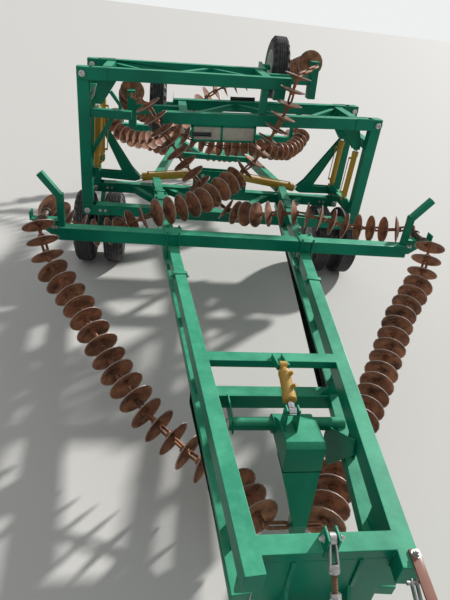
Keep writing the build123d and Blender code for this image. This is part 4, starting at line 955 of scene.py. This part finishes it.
@dataclass
class Ram:
    """Hydraulic ram with its welded base, gland, ports and clevis eye."""

    radius: float
    rod: float
    base_eye: float
    rod_eye: float
    way: PinWay
    eye_width: float = 0.050
    gland_back: float = 0.075
    bore: float = 0.0181
    piped_from: float = 0.600

    def eye(self, bm: BMesh, centre: Vector, radius: float) -> None:
        """Bored eye with chamfered faces."""
        add_ring(bm, centre, self.way.value, radius, self.bore, self.eye_width, 28)

    def add_barrel(self, bm: BMesh, base: Vector, tip: Vector, port_way: Point) -> None:
        """Barrel from the base pin to the gland, with two ports and, on a long ram, a pipe."""
        length, along = (tip - base).length, (tip - base).normalized()
        r, start, end = self.radius, self.base_eye + 0.015, length - self.gland_back
        profile = ((start, 0.0), (start, r * 0.72), (start + 0.006, r), (start + 0.030, r + 0.003),
                   (start + 0.036, r), (end - 0.060, r), (end - 0.058, r + 0.005), (end - 0.006, r + 0.005),
                   (end, r), (end, self.rod + 0.0006), (end - 0.03, self.rod + 0.0006))
        add_turned(bm, profile, base, along, 28)
        add_rod(bm, base + along * (self.base_eye - 0.012), base + along * (start + 0.004), r * 0.55, 16)
        self.eye(bm, base, self.base_eye)
        side = Vector(port_way) - along * Vector(port_way).dot(along)
        side.normalize()
        near, far = start + 0.055, end - 0.085
        for at in (near, far):
            port = base + along * at
            add_rod(bm, port + side * (r - 0.004), port + side * (r + 0.022), 0.014, 12)
            add_rod(bm, port + side * (r + 0.020), port + side * (r + 0.034), 0.011, 6)
        if length > self.piped_from:
            pipe = base + side * (r + 0.030)
            add_rod(bm, pipe + along * near, pipe + along * (far + 0.01), 0.006, 8)

    def add_rod_end(self, bm: BMesh, base: Vector, tip: Vector) -> None:
        """Rod from inside the barrel to its eye."""
        along, neck = (tip - base).normalized(), self.rod_eye + 0.024
        add_rod(bm, base.lerp(tip, 0.55), tip - along * neck, self.rod, 24)
        add_rod(bm, tip - along * (neck + 0.002), tip - along * (neck - 0.032), self.rod * 1.25, 6)
        self.eye(bm, tip, self.rod_eye)


@dataclass
class Hydraulics:
    """Fold rams, tip rams and the lift ram."""

    fold: Ram = field(default_factory=lambda: Ram(0.050, 0.027, 0.042, 0.038, PinWay.ALONG))
    tip: Ram = field(default_factory=lambda: Ram(0.035, 0.020, 0.034, 0.032, PinWay.ALONG))
    lift: Ram = field(default_factory=lambda: Ram(0.040, 0.018, 0.030, 0.028, PinWay.ACROSS))
    horn_nose: tuple[float, float] = (HINGE_X - 0.5375, FRAME_TOP + 0.090)
    tip_pin: tuple[float, float] = (0.1175, -0.2875)
    tip_base: dict[int, tuple[float, float]] = field(
        default_factory=lambda: {-1: (0.0975, 0.440), 1: (0.1175, 0.270)})
    tip_y: tuple[float, float] = (FRONT_Y + 0.140, REAR_Y - 0.160)
    lift_x: float = 0.030

    @staticmethod
    def publish_rams(ram: Ram, barrel_node: str, rod_node: str, ends: list[tuple[Vector, Vector]],
                     port_way: Point) -> None:
        """Publishes the barrels and rods of two nodes, each from its base pin to its tip pin."""
        barrel, rod = bmesh.new(), bmesh.new()
        for base, tip in ends:
            ram.add_barrel(barrel, base, tip, port_way)
            ram.add_rod_end(rod, base, tip)
        for node, bm, finish in ((barrel_node, barrel, YELLOW), (rod_node, rod, CHROME)):
            publish(f"{node}_body", bm, finish, body_of_node(node), (node,))

    def build(self) -> None:
        """Publishes every ram."""
        for name, side in SIDES:
            base, nose = (Vector((side * x, REAR_Y, z)) for x, z in (FOLD_PIN, self.horn_nose))
            self.publish_rams(self.fold, f"fold_barrel_{name}", f"fold_rod_{name}", [(base, nose)],
                              (0, -0.4, 1))
            inward, up = self.tip_base[side]
            pin_x, pin_z = wing_point(side, *self.tip_pin)
            ends = [(Vector((side * (HINGE_X - inward), y, BEAM_Z + up)), Vector((pin_x, y, pin_z)))
                    for y in self.tip_y]
            self.publish_rams(self.tip, f"tip_barrels_{name}", f"tip_rods_{name}", ends, (-side, 0, 0))
        base = Vector((self.lift_x, MID_CROSS_Y - 0.170, RAIL_TOP + 0.060))
        eye = Vector((self.lift_x, LIFT_Y - 0.150, LIFT_PIVOT_Z + 0.260))
        self.publish_rams(self.lift, "lift_barrel", "lift_rod", [(base, eye)], (0.6, 0, 1))


# ------------------------------------------------------------ front fittings


@dataclass
class Turnbuckle:
    """Screw link between the head cross member and the tongue."""

    low: tuple[float, float] = (HEAD_Y - 0.620, 0.600)
    thread: float = 0.0145
    thread_pitch: float = 0.011
    body: float = 0.0275

    def screw(self, bm: BMesh, start: Vector, end: Vector) -> None:
        """Threaded rod as a row of ridges."""
        run, pitch, root = end - start, self.thread_pitch, self.thread - 0.002
        profile = [(0.0, 0.0)]
        for turn in range(int(run.length / pitch)):
            profile += [(turn * pitch, root), ((turn + 0.5) * pitch, self.thread)]
        add_turned(bm, profile + [(run.length, root), (run.length, 0.0)], start, run, 14)

    def build(self) -> None:
        """Publishes the screws and the plated parts."""
        top, low = Vector((0, *BUCKLE_PIN)), Vector((0, *self.low))
        along, length = (low - top).normalized(), (low - top).length
        plated, rusty = bmesh.new(), bmesh.new()
        self.screw(rusty, top + along * 0.120, top + along * 0.260)
        self.screw(rusty, low - along * 0.260, low - along * 0.110)
        socket = ((0.105, 0.0), (0.105, 0.024), (0.112, 0.027), (0.140, 0.027), (0.146, 0.022), (0.146, 0.0))
        for end, way in ((top, along), (low, -along)):
            add_ring(plated, end, (1, 0, 0), 0.028, 0.0122, 0.036, 24)
            for fork in (-1, 1):
                add_bar(plated, end + way * 0.018 + Vector((fork * 0.013, 0, 0)),
                        end + way * 0.118 + Vector((fork * 0.019, 0, 0)), 0.010, 0.034, (0, 0, 1), 0.004)
            add_turned(plated, socket, end, way, 24)
        sleeve = ((0.235, self.thread), (0.235, 0.022), (0.242, self.body), (length - 0.235, self.body),
                  (length - 0.228, 0.022), (length - 0.228, self.thread))
        add_turned(plated, sleeve, top, along, 6, closed=True)
        for at in (0.222, length - 0.215):
            add_rod(plated, top + along * at, top + along * (at + 0.016), 0.026, 6)
        middle, grip = top + along * length / 2, Vector((0.12, 0, 0))
        add_rod(plated, middle - grip, middle + grip, 0.007, 10)
        publish("turnbuckle_plated", plated, ZINC, replaces=("turnbuckle",))
        publish("turnbuckle_screws", rusty, RUSTY_THREAD)


@dataclass
class Jack:
    """Parking jack with its crank."""

    x: float = -0.127
    y: float = NOSE_Y + 0.520
    crank_z: float = 0.925

    def build(self) -> None:
        """Publishes the sleeve, the leg and the crank."""
        publish("jack_sleeve_shell", softened("jack_sleeve", 0.004), ZINC, replaces=("jack_sleeve",),
                sharp_deg=20.0)
        publish("jack_leg_shell", softened("jack_leg", 0.003), ZINC, "jack_leg", ("jack_leg",), 20.0)
        bm, x, y, z = bmesh.new(), self.x, self.y, self.crank_z
        add_block(bm, Matrix.Translation((x, y, z + 0.032)), (0.096, 0.096, 0.014), 0.004)
        add_rod(bm, (x, y + 0.020, z), (x, y + 0.105, z), 0.010, 12)
        add_bar(bm, (x, y + 0.100, z), (x, y + 0.100, z - 0.120), 0.026, 0.010, (0, 1, 0))
        add_rod(bm, (x, y + 0.095, z - 0.110), (x, y + 0.195, z - 0.110), 0.012, 12)
        publish("jack_crank", bm, DARK_STEEL)


@dataclass
class FrontFittings:
    """Bolts, ribs, stay bar and clevis round the headstock and the lift arm."""

    rib_x: float = 0.165
    shaft_end_x: float = -0.325
    stay_x: float = 0.400

    def build(self) -> None:
        """Publishes the fittings."""
        self.build_bolts()
        ribs, stay = bmesh.new(), bmesh.new()
        for _, side in SIDES:
            foot = Vector((side * self.rib_x, HEAD_Y - 0.056, 0.800))
            add_bar(ribs, foot, foot + Vector((0, 0, 0.215)), 0.020, 0.012, (0, 1, 0))
        publish("headstock_ribs", ribs, GREEN)
        add_bar(stay, (self.stay_x, HEAD_Y - 0.055, RAIL_TOP + 0.007),
                (self.stay_x - 0.03, HEAD_Y - 0.43, RAIL_TOP + 0.002), 0.052, 0.012, (0, 0, 1))
        publish("stay_bar", stay, RED_OXIDE)
        self.build_clevis()

    def build_bolts(self) -> None:
        """Publishes the shaft's end, the side plate's bolts and the turnbuckle's pin ends."""
        bolts, out = bmesh.new(), (-1, 0, 0)
        add_turned(bolts, ((0.0, 0.0), (0.0, 0.034), (0.012, 0.034), (0.018, 0.028), (0.018, 0.0)),
                   (self.shaft_end_x, LIFT_Y, LIFT_PIVOT_Z), out, 20)
        add_bolt(bolts, (self.shaft_end_x - 0.018, LIFT_Y, LIFT_PIVOT_Z), out, 0.036)
        plate_x = rail_x(LIFT_Y) - 0.105
        for y, z in ((LIFT_Y - 0.33, FRAME_TOP + 0.03), (LIFT_Y - 0.10, FRAME_TOP - 0.20),
                     (LIFT_Y - 0.18, FRAME_TOP - 0.30)):
            add_bolt(bolts, (plate_x + 0.006, y, z), (1, 0, 0), 0.028)
        for _, side in SIDES:
            add_bolt(bolts, (side * 0.040, *BUCKLE_PIN), (side, 0, 0), 0.026)
        publish("front_bolts", bolts, ZINC)

    def build_clevis(self) -> None:
        """Publishes the stay's bolt and the clevis under it."""
        bm, x = bmesh.new(), self.stay_x
        add_bolt(bm, (x, HEAD_Y - 0.080, RAIL_TOP + 0.012), (0, 0, 1), 0.032)
        for dx in (-0.012, 0.012):
            add_bar(bm, (x - 0.048 + dx, HEAD_Y - 0.175, RAIL_TOP - 0.02),
                    (x - 0.060 + dx, HEAD_Y - 0.330, RAIL_TOP - 0.06), 0.008, 0.030, (0, 0, 1))
        pin = Vector((0, HEAD_Y - 0.190, RAIL_TOP - 0.022))
        add_rod(bm, pin + Vector((x - 0.085, 0, 0)), pin + Vector((x - 0.015, 0, 0)), 0.010, 12)
        publish("stay_clevis", bm, ZINC)


@dataclass
class FrameFittings:
    """Bolts of the centre frame, the saddles and the inner wings, and the fold rams' pin heads."""

    bracket_x: tuple[float, float] = (0.10, 0.30)
    saddle_x: tuple[float, float] = (0.02, 0.05)
    knuckle_x: tuple[float, float] = (-0.21, -0.15)

    def build(self) -> None:
        """Publishes the bolts and pin heads."""
        bm = bmesh.new()
        for _, side in SIDES:
            for x in self.bracket_x:
                for way in (-1, 1):
                    add_bolt(bm, (side * x, REAR_Y + way * 0.069, FRAME_TOP + 0.045), (0, way, 0), 0.028)
            pin_x, pin_z = side * FOLD_PIN[0], FOLD_PIN[1]
            add_rod(bm, (pin_x, REAR_Y - 0.094, pin_z), (pin_x, REAR_Y - 0.080, pin_z), 0.028, 20)
            for boom_y, boom_half in (FRONT_BOOM, REAR_BOOM):
                for x in self.saddle_x:
                    for way in (-1, 1):
                        seat = (side * (boom_half + x), boom_y + way * 0.010, FRAME_TOP + 0.24)
                        add_bolt(bm, seat, (0, way, 0), 0.024)
            for y in (FRONT_Y - 0.0745, REAR_Y - 0.0745):
                for x in self.knuckle_x:
                    add_bolt(bm, (side * (HINGE_X + x), y, BEAM_Z), (0, -1, 0), 0.026)
        publish("frame_bolts", bm, ZINC)


@dataclass
class MarkerBoard:
    """Blank framed board under the right wing's front rail, and the storage tubes on it and behind."""

    near: float = 1.440
    far: float = 2.190
    drop: float = 0.190
    rim: float = 0.024
    deep: float = 0.034
    y: float = FRONT_Y - 0.030
    tube_r: float = 0.024
    rear_tube: tuple[float, float] = (1.330, 1.650)

    def at(self, distance: float, drop: float, y: float = 0.0) -> Vector:
        """Point along the rail, below its underside."""
        x, z = wing_point(1, distance, -TUBE / 2 - SEAM - drop)
        return Vector((x, self.y + y, z))

    def add_tube(self, bm: BMesh, start: Vector, end: Vector) -> None:
        """Capped storage tube."""
        length, r = (end - start).length, self.tube_r
        add_turned(bm, ((0.0, 0.0), (0.0, r - 0.003), (0.003, r), (0.022, r), (0.024, r - 0.002),
                        (length - 0.024, r - 0.002), (length - 0.022, r), (length - 0.003, r),
                        (length, r - 0.003), (length, 0.0)), start, end - start, 24)

    def build(self) -> None:
        """Publishes the panels, the frame and the tubes."""
        panel, edge, tube = bmesh.new(), bmesh.new(), bmesh.new()
        near, far, drop, half = self.near, self.far, self.drop, self.rim / 2
        add_bar(panel, self.at(near + 0.01, drop / 2), self.at(far - 0.01, drop / 2), 0.014, drop - 0.01,
                (0, 0, 1), 0.002)
        for level in (half, drop - half):
            add_bar(edge, self.at(near, level), self.at(far, level), self.deep, self.rim)
        for along in (near + half, (near + far) / 2 + 0.015 + half, far - half):
            add_bar(edge, self.at(along, 0.002), self.at(along, drop - 0.002), self.rim, self.deep,
                    (0, 1, 0))
        self.add_tube(tube, self.at(far - 0.010, 0.105, -0.025), self.at(far - 0.225, 0.105, -0.025))
        on_rail, back = -TUBE - 2 * SEAM - self.tube_r, REAR_Y - self.y + 0.030
        self.add_tube(tube, *(self.at(along, on_rail, back) for along in self.rear_tube))
        publish("board_panels", panel, BOARD, replaces=("marker_board",))
        publish("board_frame", edge, GREEN)
        publish("board_tube", tube, BLACK_TUBE)


# ------------------------------------------------------------------- studio


@dataclass
class Studio:
    """Floor, light and the camera at the photograph's angle."""

    focal_px: float = 483.6
    frame_px: float = 600.0
    eye: tuple[float, float, float] = (-0.838, -5.412, 3.151)
    turn_deg: tuple[float, float, float] = (9.597, 30.935, 7.065)
    sensor_mm: float = 36.0
    floor_tone: tuple[float, float, float] = (0.62, 0.60, 0.56)
    sky_tone: tuple[float, float, float] = (0.92, 0.96, 1.0)
    backdrop_tone: tuple[float, float, float] = (0.86, 0.87, 0.87)
    sky_power: float = 0.46
    sun_from: tuple[float, float, float] = (0.66, 0.60, 0.46)
    sun_power: float = 4.4
    sun_angle: float = 0.05

    def floor(self) -> None:
        """Wide pale floor that meets a pale sky."""
        bm = bmesh.new()
        bmesh.ops.create_grid(bm, x_segments=1, y_segments=1, size=300)
        mesh = bpy.data.meshes.new("floor")
        bm.to_mesh(mesh)
        bm.free()
        floor = bpy.data.objects.new("floor", mesh)
        bpy.context.scene.collection.objects.link(floor)
        floor.data.materials.append(Recipe("floor_surface").finish(self.floor_tone, 0.9))

    def light(self) -> None:
        """Sun from the right and behind, with an even sky."""
        sun = bpy.data.lights.new("sun", "SUN")
        sun.energy = self.sun_power
        sun.angle = self.sun_angle
        lamp = bpy.data.objects.new("sun", sun)
        lamp.rotation_euler = Vector(self.sun_from).to_track_quat("Z", "Y").to_euler()
        bpy.context.scene.collection.objects.link(lamp)
        world = bpy.data.worlds.new("sky")
        bpy.context.scene.world = world
        world.use_nodes = True
        tree = world.node_tree
        seen, lit = tree.nodes.new("ShaderNodeBackground"), tree.nodes["Background"]
        lit.inputs["Color"].default_value = (*self.sky_tone, 1.0)
        lit.inputs["Strength"].default_value = self.sky_power
        seen.inputs["Color"].default_value = (*self.backdrop_tone, 1.0)
        mix, rays = tree.nodes.new("ShaderNodeMixShader"), tree.nodes.new("ShaderNodeLightPath")
        tree.links.new(rays.outputs["Is Camera Ray"], mix.inputs[0])
        tree.links.new(lit.outputs[0], mix.inputs[1])
        tree.links.new(seen.outputs[0], mix.inputs[2])
        tree.links.new(mix.outputs[0], tree.nodes["World Output"].inputs["Surface"])

    def camera(self) -> None:
        """Camera that sees the machine as the photograph does."""
        lens = bpy.data.cameras.new("camera")
        lens.sensor_width = self.sensor_mm
        lens.sensor_fit = "AUTO"
        lens.lens = self.focal_px / self.frame_px * self.sensor_mm
        lens.clip_end = 1000
        yaw, pitch, roll = map(math.radians, self.turn_deg)
        ahead = Vector((math.sin(yaw) * math.cos(pitch), math.cos(yaw) * math.cos(pitch), -math.sin(pitch)))
        level = Vector((math.cos(yaw), -math.sin(yaw), 0))
        rise = level.cross(ahead)
        right = math.cos(roll) * level + math.sin(roll) * rise
        up = -math.sin(roll) * level + math.cos(roll) * rise
        matrix = Matrix((right, up, -ahead)).transposed().to_4x4()
        matrix.translation = Vector(self.eye)
        camera = bpy.data.objects.new("camera", lens)
        camera.matrix_world = matrix
        bpy.context.scene.collection.objects.link(camera)
        bpy.context.scene.camera = camera

    def build(self) -> None:
        """Sets the scene up."""
        self.floor()
        self.light()
        self.camera()
        bpy.context.scene.view_settings.view_transform = "Standard"


def main() -> None:
    """Builds the looks in order and notes the size of the model."""
    logging.basicConfig(level=logging.INFO, format="%(name)s %(message)s")
    for assembly in (Steelwork(), Clamps(), PinHeads(), Wheels(), Gangs(), Hydraulics(), Turnbuckle(), Jack(),
                     FrontFittings(), FrameFittings(), MarkerBoard(), Studio()):
        LOG.info("building %s", type(assembly).__name__)
        assembly.build()


if __name__ == "__main__":
    main()
